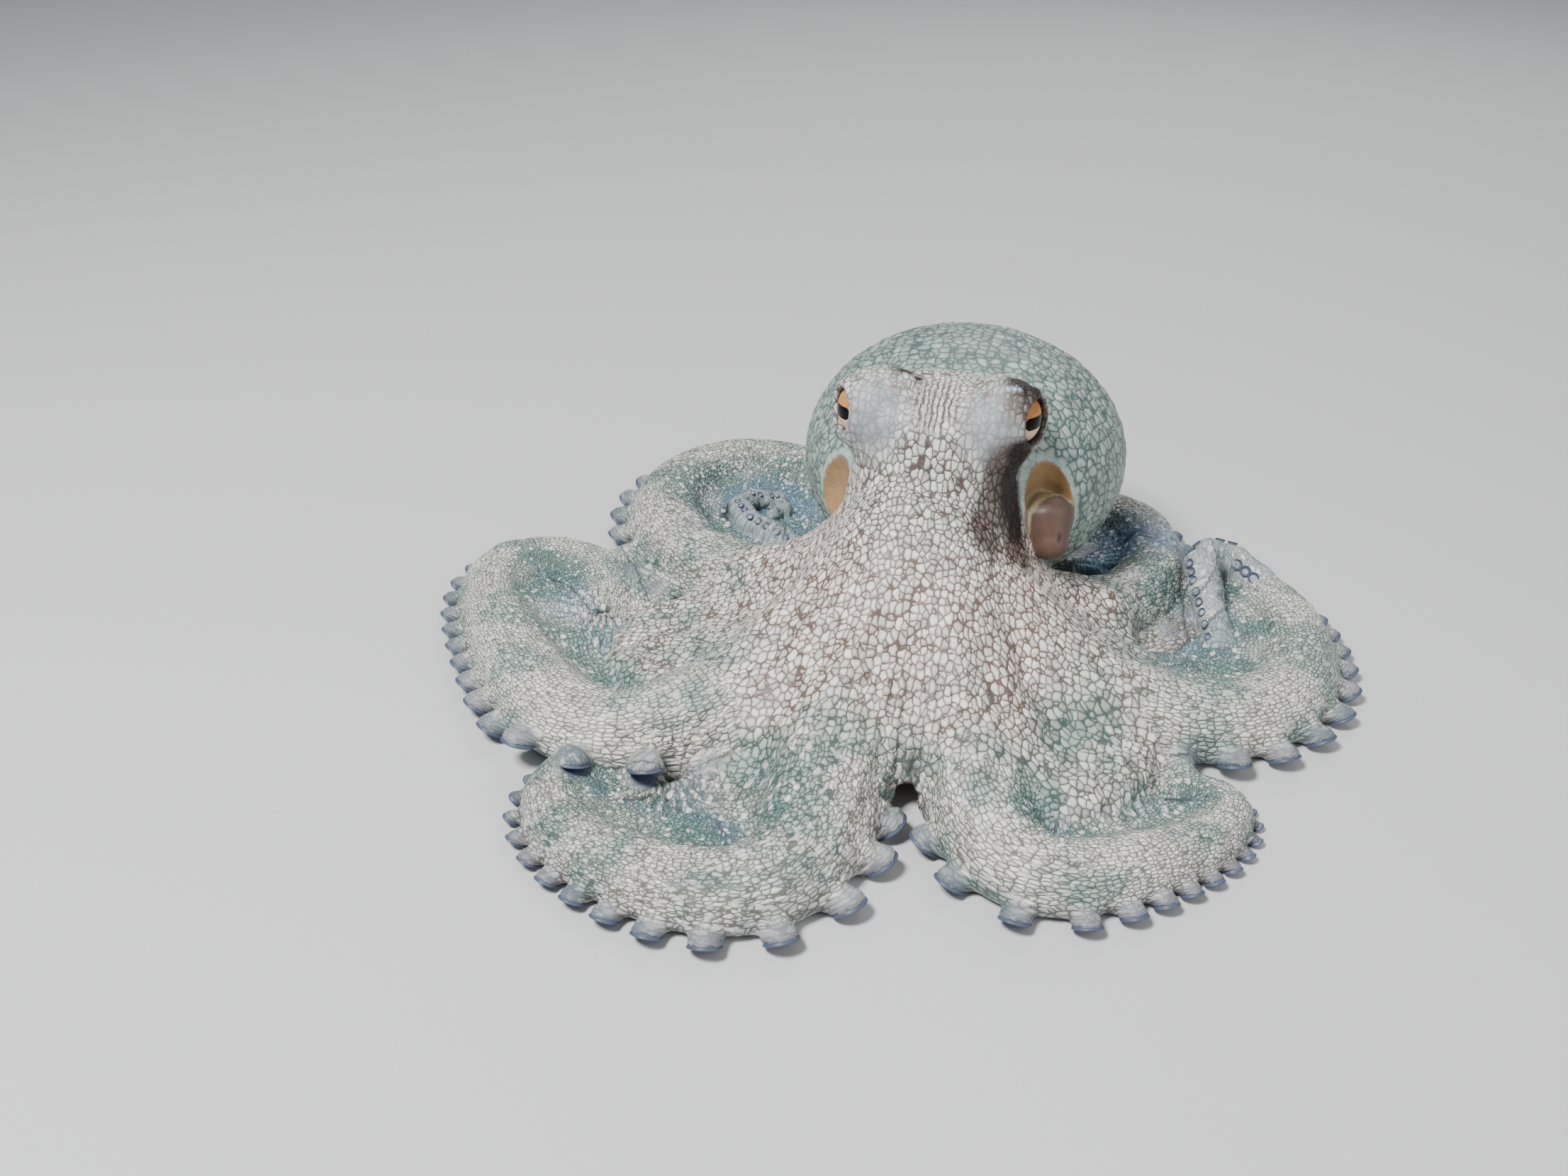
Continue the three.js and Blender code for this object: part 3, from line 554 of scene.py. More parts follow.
def join_sucker(flesh, whole, arm, s):
    """Let the skin run out over one sucker, flare to its rim, and hollow its cup."""
    rim, centre, out, axis, _ = sucker_place(arm, s)
    root = centre - out * SUCKER_ROOT * rim
    root[2] = min(SUCKER_ROOT_HIGH * rim, SUCKER_ROOT_SHARE * float(arm.at("crest", s)))
    reach = (SUCKER_ROOT + 1) * rim + 2
    columns = flesh.near((centre[0] - reach, centre[0] + reach),
                         (centre[1] - reach, centre[1] + reach))
    x, y, z = flesh.shape(columns)
    way = centre - root
    d = [x[:, None] - root[0], y[:, None] - root[1], z - root[2]]
    share = np.clip(sum(a * b for a, b in zip(d, way)) / (way @ way), 0, 1)
    from_waist = smooth_step(share, 0.5, 1.0) + 1 - smooth_step(share, 0, 0.5)
    radius = SUCKER_WAIST + (1 - SUCKER_WAIST) * from_waist
    stalk = np.sqrt(sum((a - share * b) ** 2 for a, b in zip(d, way))) - radius * rim
    beyond = ((x[:, None] - centre[0]) * axis[0] + (y[:, None] - centre[1]) * axis[1]
              + (z - centre[2]) * axis[2])
    stalk = smooth_max(stalk, beyond + CUP_EDGE * rim, CUP_ROUND * rim)
    ball = centre + axis * CUP_DEPTH * rim
    hollow = np.sqrt((x[:, None] - ball[0]) ** 2 + (y[:, None] - ball[1]) ** 2
                     + (z - ball[2]) ** 2) - rim
    stalk = np.maximum(stalk, -hollow).astype(np.float32)
    whole[columns] = smooth_min(whole[columns], stalk, SUCKER_BLEND * rim)


def grow_mantle(flesh):
    """The mantle with its two openings carved, before the head goes in."""
    columns = flesh.near(*MANTLE_AREA)
    at = flesh.shape(columns)
    mantle = mantle_field(*at)
    for pocket in POCKETS:
        hollow = pocket_field(pocket, *at)
        lip = np.hypot(hollow - LIP_OUT, mantle + LIP_IN) - LIP_RADIUS
        mantle = smooth_min(mantle, lip, ROUND["lip"])
        mantle = smooth_max(mantle, -hollow, ROUND["pocket"])
    flesh.join(columns, mantle, ROUND["mantle"])


def blend_in(whole, columns, d, k):
    whole[columns] = smooth_min(whole[columns], d.astype(np.float32), k)


def grow_arms(flesh, whole):
    """Arms out of the crown, the skin in their curls, their tips and suckers."""
    radius = np.hypot(flesh.x, flesh.y - CROWN_Y)
    near_steps, far_steps = BLEND_STEPS
    ease = (BLEND_CROWN + (BLEND_WEB - BLEND_CROWN) * smooth_step(radius, *near_steps)
            + (BLEND_FAR - BLEND_WEB) * smooth_step(radius, *far_steps))
    for name in ("r4", "l4", "r3", "l3", "l2", "r2", "l1", "r1"):
        arm = PATHS[name]
        columns = flesh.around(arm.x, arm.y, ARM_AREA_SPARE)
        s, across, miss = arm.feet(flesh.x[columns], flesh.y[columns])
        close = miss < ARM_REACH
        columns, s, across = columns[close], s[close], across[close]
        d = arm_dome(arm, s, across, flesh.z)
        d = np.maximum(d, (miss[close] - ARM_CUT)[:, None] * ARM_CUT_SLOPE)
        blend_in(whole, columns, d, ease[columns][:, None])
    for name, (cx, cy, reach) in CURLS.items():
        columns = flesh.around([cx], [cy], reach + CURL_AREA_SPARE)
        blend_in(whole, columns, curl_field(name, *flesh.shape(columns)), ROUND["curl"])
    for tip in TIPS:
        xs, ys = [p[0] for p in tip], [p[1] for p in tip]
        columns = flesh.around(xs, ys, TIP_AREA_SPARE)
        blend_in(whole, columns, tip_field(tip, *flesh.shape(columns)), ROUND["tip"])
    for arm in PATHS.values():
        for s in arm.sucker_row():
            join_sucker(flesh, whole, arm, s)


def grow_brows(flesh, whole):
    """Brows, papillae, and the hoods of skin over the eyeballs."""
    columns = flesh.near(*HEAD_AREA)
    x, y, z = flesh.shape(columns)
    x, y = x[:, None], y[:, None]
    head = whole[columns]
    for side in (-1, 1):
        brow = ellipsoid_field(x - HEAD_SHIFT - side * BROW["x"], y - BROW["y"], z - BROW["z"],
                               BROW["r"])
        head = smooth_min(head, brow, ROUND["brow"])
    for at, radius in PAPILLAE:
        lump = np.sqrt((x - at[0]) ** 2 + (y - at[1]) ** 2 + (z - at[2]) ** 2) - radius
        head = smooth_min(head, lump, ROUND["papilla"])
    for side in (-1, 1):
        centre = eye_frame(side)[0]
        hood = np.sqrt((x - centre[0]) ** 2 + (y - centre[1]) ** 2 + (z - centre[2]) ** 2)
        head = smooth_min(head, hood - EYE["radius"] - LID_THICK, ROUND["hood"])
    whole[columns] = head


def open_eyes(flesh):
    """Lids round each opening, and the room behind them for the eyeball."""
    columns = flesh.near(*HEAD_AREA)
    x, y, z = flesh.shape(columns)
    x, y = x[:, None], y[:, None]
    plane = math.sqrt(EYE["radius"] ** 2 - EYE_OPENING ** 2)
    for side in (-1, 1):
        centre, gaze = eye_frame(side)
        dx, dy, dz = x - centre[0], y - centre[1], z - centre[2]
        along = dx * gaze[0] + dy * gaze[1] + dz * gaze[2]
        off = np.sqrt(np.maximum(dx * dx + dy * dy + dz * dz - along * along, 0))
        ball = np.sqrt(dx * dx + dy * dy + dz * dz) - EYE["radius"] - EYE_CLEAR
        lid = np.hypot(off - EYE_OPENING - LID_RADIUS * LID_INSET, along - plane) - LID_RADIUS
        flesh.join(columns, lid, ROUND["lid"])
        flesh.carve(columns, ball, ROUND["ball"])
        bore = smooth_max(off - EYE_OPENING, -along, ROUND["bore_back"])
        flesh.carve(columns, bore, ROUND["bore"])


def build_flesh():
    flesh = Flesh()
    grow_mantle(flesh)
    whole = np.full_like(flesh.field, OUTSIDE)
    reach = WEB_AREA_SPARE * max(row[1] for row in WEB_MARGIN)
    columns = flesh.near((-reach, reach), (-reach, reach))
    at = flesh.shape(columns)
    whole[columns] = smooth_min(web_field(*at), column_field(*at), ROUND["neck"])
    grow_arms(flesh, whole)
    grow_brows(flesh, whole)
    everywhere = np.arange(len(flesh.x))
    flesh.join(everywhere, whole, ROUND["body"])
    columns = flesh.near(*SIPHON_AREA)
    flesh.join(columns, siphon_field(*flesh.shape(columns)), ROUND["siphon"])
    open_eyes(flesh)
    ground = flesh.z[None, :] * np.ones((len(flesh.x), 1), np.float32)
    flesh.carve(everywhere, ground, ROUND["ground"])
    return flesh


def placed(points):
    """From the drawing frame in millimetres to the model's frame in metres."""
    return (np.asarray(points) + SHIFT) * MM


# The left eye of the part tells where the drawing frame lies in the model's.
EYE_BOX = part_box("eye_left")
SHIFT = (np.array(EYE_BOX[0]) + np.array(EYE_BOX[1])) / 2 / MM - eye_frame(1)[0]


def new_mesh(name, points, faces):
    mesh = bpy.data.meshes.new(name)
    points = np.asarray(points, np.float32)
    faces = np.asarray(faces, np.int32)
    mesh.vertices.add(len(points))
    mesh.vertices.foreach_set("co", points.ravel())
    corners = faces.shape[1]
    mesh.loops.add(faces.size)
    mesh.loops.foreach_set("vertex_index", faces.ravel())
    mesh.polygons.add(len(faces))
    mesh.polygons.foreach_set("loop_start", np.arange(0, faces.size, corners, dtype=np.int32))
    mesh.polygons.foreach_set("use_smooth", np.full(len(faces), True))
    mesh.update()
    mesh.validate()
    piece = bpy.data.objects.new(name, mesh)
    bpy.context.scene.collection.objects.link(piece)
    return piece


# ---------------------------------------------------------------- suckers
def tip_cups(tip, facing):
    """A row of small cups along the side of an arm tip that faces a given way."""
    cups = []
    for a, b in zip(tip[:-1], tip[1:]):
        a, b = np.array(a, float), np.array(b, float)
        count = max(int(np.linalg.norm(b[:3] - a[:3]) / TIP_CUP_PITCH), 1)
        for k in range(count):
            x, y, z, radius = mix(a, b, (k + 0.5) / count)
            way = (b - a)[:3] / np.linalg.norm((b - a)[:3])
            axis = facing - way * (facing @ way)
            axis /= np.linalg.norm(axis)
            rim = TIP_CUP_RIM * radius
            centre = np.array([x, y, z]) + axis * (radius + TIP_CUP_STANDOFF * rim)
            cups.append((rim, centre, axis, way, np.cross(axis, way)))
    return cups


def sucker_cups():
    """Every sucker of the outer rows: points, quads, and the rim share of each point."""
    points, faces, share, places = [], [], [], []
    turns = np.arange(SUCKER_AROUND) * 2 * math.pi / SUCKER_AROUND
    for arm in PATHS.values():
        for s in arm.sucker_row():
            rim, centre, _, axis, along = sucker_place(arm, s)
            up = np.cross(axis, along)
            places.append((rim, centre, axis, along, up))
    for tip, facing in zip(TIPS, TIP_FACING):
        places += tip_cups(tip, np.array(facing))
    for rim, centre, axis, along, up in places:
        first = len(points) * SUCKER_AROUND
        for back, radius in SUCKER_PROFILE:
            round_it = np.cos(turns)[:, None] * along + np.sin(turns)[:, None] * up
            points.append(centre - axis * back * rim + rim * radius * round_it)
            share.append(np.full(SUCKER_AROUND, 1 - max(back, 0)))
        for i in range(len(SUCKER_PROFILE) - 1):
            for j in range(SUCKER_AROUND):
                a = first + i * SUCKER_AROUND + j
                b = first + i * SUCKER_AROUND + (j + 1) % SUCKER_AROUND
                faces.append((a, b, b + SUCKER_AROUND, a + SUCKER_AROUND))
    points = np.concatenate(points)
    points[:, 2] = np.maximum(points[:, 2], 0)
    return points, np.array(faces), np.concatenate(share)


# -------------------------------------------------------------------- eyes
def eye_piece(name, side):
    """An eyeball, and each of its points as distances forward, up and along its gaze."""
    centre, gaze = eye_frame(side)
    around, rows = EYE_AROUND, EYE_ROWS
    forward = np.cross(gaze, (0, 0, 1.0)) * -side
    forward /= np.linalg.norm(forward)
    up = np.cross(gaze, forward) * side
    points, faces, local = [], [], []
    for i in range(rows + 1):
        polar = math.pi * i / rows
        for j in range(around):
            turn = 2 * math.pi * j / around
            own = np.array([math.sin(polar) * math.cos(turn), math.sin(polar) * math.sin(turn),
                            math.cos(polar)]) * (EYE["radius"] - EYE_SHRINK)
            local.append(own)
            points.append(centre + forward * own[0] + up * own[1] + gaze * own[2])
    for i in range(rows):
        for j in range(around):
            a, b = i * around + j, i * around + (j + 1) % around
            faces.append((a, a + around, b + around, b))
    return new_mesh(name, placed(points), faces), local


# ------------------------------------------------------------ skin's facts
def quad_normals(points, faces):
    a, b, c, d = (points[faces[:, k]] for k in range(4))
    flat = np.cross(c - a, d - b)
    normals = np.zeros_like(points)
    for k in range(4):
        for axis in range(3):
            normals[:, axis] += np.bincount(faces[:, k], flat[:, axis], len(points))
    return normals / np.maximum(np.linalg.norm(normals, axis=1), 1e-9)[:, None]


def relax(points, faces, rounds):
    """Draw every point towards its neighbours, to take the grid's steps out."""
    edges = np.concatenate([faces[:, [k, (k + 1) % 4]] for k in range(4)])
    count = np.bincount(edges[:, 0], minlength=len(points))
    for _ in range(rounds):
        middle = np.stack([np.bincount(edges[:, 0], points[edges[:, 1], axis], len(points))
                           for axis in range(3)], 1) / np.maximum(count, 1)[:, None]
        points = mix(points, middle, 0.5)
    return points


def lumps(points, size, seed):
    """Smooth noise over space, about -1 to 1, features of the given size."""
    shift = np.array([13.7, 5.1, 9.3]) * seed
    scaled = (points / size + shift).tolist()
    return np.array([noise.noise(p) for p in scaled])


def near_point(points, at, radii):
    """1 at a place on the body, falling to 0 at the radii."""
    d = np.sqrt((((points - np.array(at)) / np.array(radii)) ** 2).sum(1))
    return 1 - smooth_step(d, 0.0, 1.0)


CELL_BEND = 30.0                   # radius beyond which the trunk's cells are drawn out
CELL_RADIAL = 0.72                 # their crowding along the radius there
CELL_TALL = 0.58                   # and upright
TRUNK_CELL = 1 / 1.75              # cells to a millimetre on head and web
MANTLE_CELL = 1 / 2.9              # and on the mantle
CELL_STRETCH = 0.8                 # crowding of an arm's cells along it
CELL_ARM_STEP = 7.3                # sets each arm's cells apart from the next one's
CELL_INNER_DROP = 0.4              # how fast cells run down an arm's inner side
ARM_CELL_ROOT, ARM_CELL_TIP, ARM_CELL_POWER = 1.9, 0.95, 0.8


class Facts:
    """What each point of the skin is part of, and where on it."""

    def __init__(self, points):
        x, y, z = points.T
        self.radius = np.hypot(x, y - CROWN_Y)
        self.azimuth = np.degrees(np.arctan2(y - CROWN_Y, x))
        count = len(points)
        best = np.full(count, OUTSIDE)
        self.s, self.across, self.half = np.zeros(count), np.zeros(count), np.ones(count)
        self.cell = np.zeros((count, 3))
        for k, arm in enumerate(PATHS.values()):
            close = np.flatnonzero((x > arm.x.min() - 50) & (x < arm.x.max() + 50)
                                   & (y > arm.y.min() - 50) & (y < arm.y.max() + 50))
            s, across, _ = arm.feet(x[close], y[close])
            d = arm_dome(arm, s, across, z[close][:, None])[:, 0]
            won = d < best[close]
            at, s, across = close[won], s[won], across[won]
            best[at] = d[won]
            self.s[at], self.across[at] = s, across
            self.half[at] = np.where(across > 0, arm.at("outer", s), arm.at("inner", s))
            size = cell_size(arm)
            steps = np.concatenate([[0], np.cumsum(1 / size)])[:-1]
            drop = np.maximum(arm.at("crest", s) - z[at], 0)
            down = across + np.where(across > 0, 1.0, -CELL_INNER_DROP) * drop
            self.cell[at] = np.stack([np.interp(s, arm.s, steps) * CELL_STRETCH,
                                      down / np.interp(s, arm.s, size),
                                      np.full(len(at), CELL_ARM_STEP * k)], 1)
        self.mantle = mantle_field(x, y, z[:, None])[:, 0]
        web = web_field(x, y, z[:, None])[:, 0]
        column = column_field(x, y, z[:, None])[:, 0]
        siphon = siphon_field(x, y, z[:, None])[:, 0]
        self.pockets = [pocket_field(pocket, x, y, z[:, None])[:, 0] for pocket in POCKETS]
        trunk = np.minimum(np.minimum(web, column), best)
        self.is_mantle = smooth_step(trunk - self.mantle, -0.6, 0.6)
        self.is_siphon = smooth_step(np.minimum(self.mantle, trunk) - siphon, -0.3, 0.3)
        self.is_arm = smooth_step(self.s, 40, 66) * (1 - self.is_mantle) * smooth_step(
            web - best, -8, 2)
        self.inward = np.clip(-self.across / self.half, 0, 1.2)
        self.outward = np.clip(self.across / self.half, 0, 1.2)
        self.on_sucker = np.zeros(count)
        for arm in PATHS.values():
            for s in arm.sucker_row():
                rim, centre, _, _, _ = sucker_place(arm, s)
                close = np.flatnonzero((np.abs(x - centre[0]) < 2.2 * rim)
                                       & (np.abs(y - centre[1]) < 2.2 * rim))
                off = np.linalg.norm(points[close] - centre, axis=1) / rim
                self.on_sucker[close] = np.maximum(self.on_sucker[close],
                                                   1 - smooth_step(off, 0.75, 1.35))
        # the low outer edge of each arm, where painted shade goes
        self.notch_shade = (self.is_arm * smooth_step(self.outward, 0.95, 1.1)
                         * (1 - smooth_step(z, 2, 5)))
        self.on_tip = np.zeros(count)
        for tip in TIPS:
            d = tip_field(tip, x, y, z[:, None])[:, 0]
            self.on_tip = np.maximum(self.on_tip, 1 - smooth_step(d, 0.0, 1.2))


def cell_size(arm):
    """Size of the skin's cells along an arm, in millimetres."""
    return mix(ARM_CELL_ROOT, ARM_CELL_TIP, np.clip(arm.s / arm.length, 0, 1) ** ARM_CELL_POWER)


def trunk_cells(points):
    """Coordinates in which cells of head and web stand taller than they are wide."""
    x, y, z = points.T
    y = y - CROWN_Y
    r = np.maximum(np.hypot(x, y), 1.0)
    spread = np.where(r < CELL_BEND, r, CELL_BEND + (r - CELL_BEND) * CELL_RADIAL) / r
    return np.stack([x * spread, y * spread, z * CELL_TALL], 1) * TRUNK_CELL


# ----------------------------------------------------------------- relief
# Heights and widths of the skin's folds, in millimetres.
SADDLE = ((-0.5, 2, 81), (13, 16, 15))      # forehead between the brows: place and radii
SADDLE_HEIGHT, SADDLE_WIDTH = 0.75, 3.4
PLEAT_HEIGHT, PLEAT_WIDTH = 0.55, 4.6
HUB_HEIGHT, HUB_PIT = 0.7, 3.0
ARCH_BEARING = -91.0                        # degrees round of the arch between r1 and l1
ARCH_HEIGHT, ARCH_WIDTH = 0.6, 4.2          # its pleats; the width is in degrees
SWELL_HEIGHT, SWELLS = 0.7, 19              # soft radial swells right round the web


def fold(points, normals, facts):
    """Move the skin in and out along its normals: wrinkles, pleats, lumps."""
    x, y, z = points.T
    lump = lumps(points, 11.0, 1) * 0.5 + lumps(points, 5.0, 2) * 0.22
    shift = lump * (1 - 0.5 * facts.is_mantle)
    shift += facts.is_mantle * 0.35 * lumps(points, 3.2, 4)
    # forehead: upright folds across the saddle between the brows
    wobble = lumps(points, 6.0, 3)
    saddle = near_point(points, *SADDLE) * (1 - facts.is_mantle)
    shift += saddle * SADDLE_HEIGHT * np.sin(2 * math.pi * (x / SADDLE_WIDTH + 0.35 * wobble))
    # pleats where the inner skin of a curl is gathered
    pleat = facts.is_arm * smooth_step(facts.inward, 0.45, 0.9)
    wave = np.sin(2 * math.pi * (facts.s / PLEAT_WIDTH + 0.3 * wobble))
    shift += pleat * PLEAT_HEIGHT * wave
    for hx, hy, depth in HUBS:
        off = np.hypot(x - hx, y - hy)
        turn = np.arctan2(y - hy, x - hx)
        low = 1 - smooth_step(z, 14, 22)
        gather = smooth_step(off, 2, 5) * (1 - smooth_step(off, 9, HUB_REACH)) * low
        shift += depth * gather * HUB_HEIGHT * np.sin(HUB_PLEATS * turn + 2.0 * wobble)
        pit = (1 - smooth_step(off, 0.5, 3.2)) * low * smooth_step(z, 1.5, 4)
        shift -= HUB_PIT * depth * pit
    # pleats over the arch between the front arms
    off = facts.azimuth - ARCH_BEARING
    front = (1 - smooth_step(np.abs(off), 10, 24)) * smooth_step(facts.radius, 34, 50)
    wave = np.sin(2 * math.pi * (off / ARCH_WIDTH + 0.2 * wobble))
    shift += front * (1 - facts.is_arm * 0.5) * ARCH_HEIGHT * wave
    # soft radial swells of the web
    swell = (1 - facts.is_arm) * (1 - facts.is_mantle) * smooth_step(facts.radius, 28, 45)
    shift += swell * SWELL_HEIGHT * np.sin(np.radians(facts.azimuth) * SWELLS + 1.5 * wobble)
    shift *= smooth_step(z, 0.5, 4.0) * (1 - facts.is_siphon) * (1 - facts.on_sucker)
    for side in (-1, 1):
        centre, _ = eye_frame(side)
        shift *= smooth_step(np.linalg.norm(points - centre, axis=1), 9.5, 14)
    moved = points + normals * shift[:, None]
    moved[:, 2] = np.maximum(moved[:, 2], 0)
    return moved


# ------------------------------------------------------------------ colours
def linear(*levels):
    """Linear colour from 0..255 display levels."""
    c = np.array(levels, float) / 255
    return np.where(c <= 0.04045, c / 12.92, ((c + 0.055) / 1.055) ** 2.4)


CREAM = linear(243, 233, 223)
TIP_SKIN = linear(166, 174, 176)
PALE = linear(224, 227, 220)
BOWL_BLUE = linear(84, 132, 178)
BROW_GREY = linear(146, 153, 158)
MANTLE_PATCH = linear(154, 169, 160)
TEAL = linear(112, 142, 133)
DEEP_BLUE = linear(110, 142, 160)
EDGE_VIOLET = linear(74, 82, 104)
NET_BROWN = linear(84, 58, 48)
NET_DARK = linear(58, 46, 42)
NET_GREEN = linear(46, 76, 73)
NET_GREY = linear(96, 92, 82)
BLACK_BROWN = linear(38, 26, 22)
DARK_BROWN = linear(84, 62, 52)
SIPHON_BROWN = linear(88, 68, 57)
INSIDE_TAN = linear(160, 146, 114)
INSIDE_ORANGE = linear(150, 98, 48)
LIP_PALE = linear(176, 200, 196)
RED_BROWN = linear(122, 70, 64)
GLINT = linear(206, 226, 248)

# Marks on the skin: place and radii, and where given how much they show.
# Painted shade round each lid's opening: how strongly it shows, by side.
LID_SHADE = {-1: 0.3, 1: 0.9}
# Dark marks over the eyes, and down the left side of the neck, where they also paint shade.
DARK_MARKS_AND_SHADE = [((19, -4, 72), (9, 10, 13)), ((18, -5, 62), (10, 11, 17)),
              ((15, -12, 55), (10, 10, 14)), ((24, -5, 49), (10, 11, 15)),
              ((22, 2, 88), (10, 11, 9)), ((-12, 10, 90), (7, 8, 5)),
              ((-21, 6, 88), (5, 6, 4))]
# Painted black shadow in the gap between the neck and the mantle's left opening, and between the
# left brow and eye; small black patches over the right eye.
BLACK_SHADE_AND_PATCHES = [((21, 6, 91), (8, 7, 6)), ((22.5, -1.5, 76), (5.5, 6, 8)),
               ((22, 0, 64), (7, 9, 18)), ((24, -2, 54), (5, 6, 8)),
               ((-10.5, 8.5, 92.5), (3, 3, 2.6)), ((-7, 8.5, 90.5), (2, 2.4, 2))]
RED_MARKS = [((12.6, 1.5, 90.0), (2.4, 2.4, 2.4)), ((-12.4, 2.0, 89.8), (1.6, 1.6, 1.6))]
# Painted highlights: glints on the left brow's top, on a papilla over the right eye, and below the
# right eye.
GLINT_MARKS = [((19.0, 2.2, 92.2), (3.2, 1.3, 1.5)), ((-9.6, 5.0, 91.8), (1.5, 1.2, 0.9)),
               ((-24.5, -1.5, 74.5), (1.6, 1.6, 2.4))]
TEAL_MARKS = [((44, -44, 14), (18, 26, 16), 0.7), ((-70, -48, 12), (24, 16, 14), 0.5),
              ((66, -8, 18), (30, 12, 14), 0.5), ((70, 44, 14), (20, 22, 14), 0.5),
              ((-58, 28, 24), (26, 16, 14), 0.4)]
BLUE_MARKS = [((60, 76, 6), (30, 28, 18), 1.0), ((-70, 84, 6), (24, 26, 14), 0.6),
              ((-112, 4, 6), (14, 16, 10), 0.4)]
# Painted black shade standing for the siphon's opening at its tip: place and radii.
SIPHON_SLIT_SHADE = ((35.0, 4.2, 48.0), (0.9, 2.2, 2.2))
FOREHEAD = ((-1, 1, 86), (9, 17, 11))         # the finely wrinkled skin between the brows
PADDLE_GAP = ((-70, -71, 3), (15, 4, 5))      # shadow under the lifted suckers
# Shadowed edges beside the coiled tips: middle, radius, first and last bearing.
CRESCENTS = [((-68, 76), 13.0, 70, 230)]


def blend_colour(colour, other, share):
    """Move each row of colours towards another colour by its share."""
    return colour + (other - colour) * np.clip(share, 0, 1)[:, None]


class Coat:
    """The skin's two colours at each point: its cells', and that of the net between them."""

    def __init__(self, count):
        self.patch = np.tile(CREAM, (count, 1))
        self.net = np.tile(NET_BROWN, (count, 1))

    def lay(self, patch, share, net=None, net_share=None):
        """Move the cells towards a colour by a share, and the net towards its own."""
        self.patch = blend_colour(self.patch, patch, share)
        if net is not None:
            self.net = blend_colour(self.net, net, net_share)


def strongest(points, marks):
    """At each point, how near it is to the nearest of some marks."""
    share = np.zeros(len(points))
    for at, radii in marks:
        share = np.maximum(share, near_point(points, at, radii))
    return share


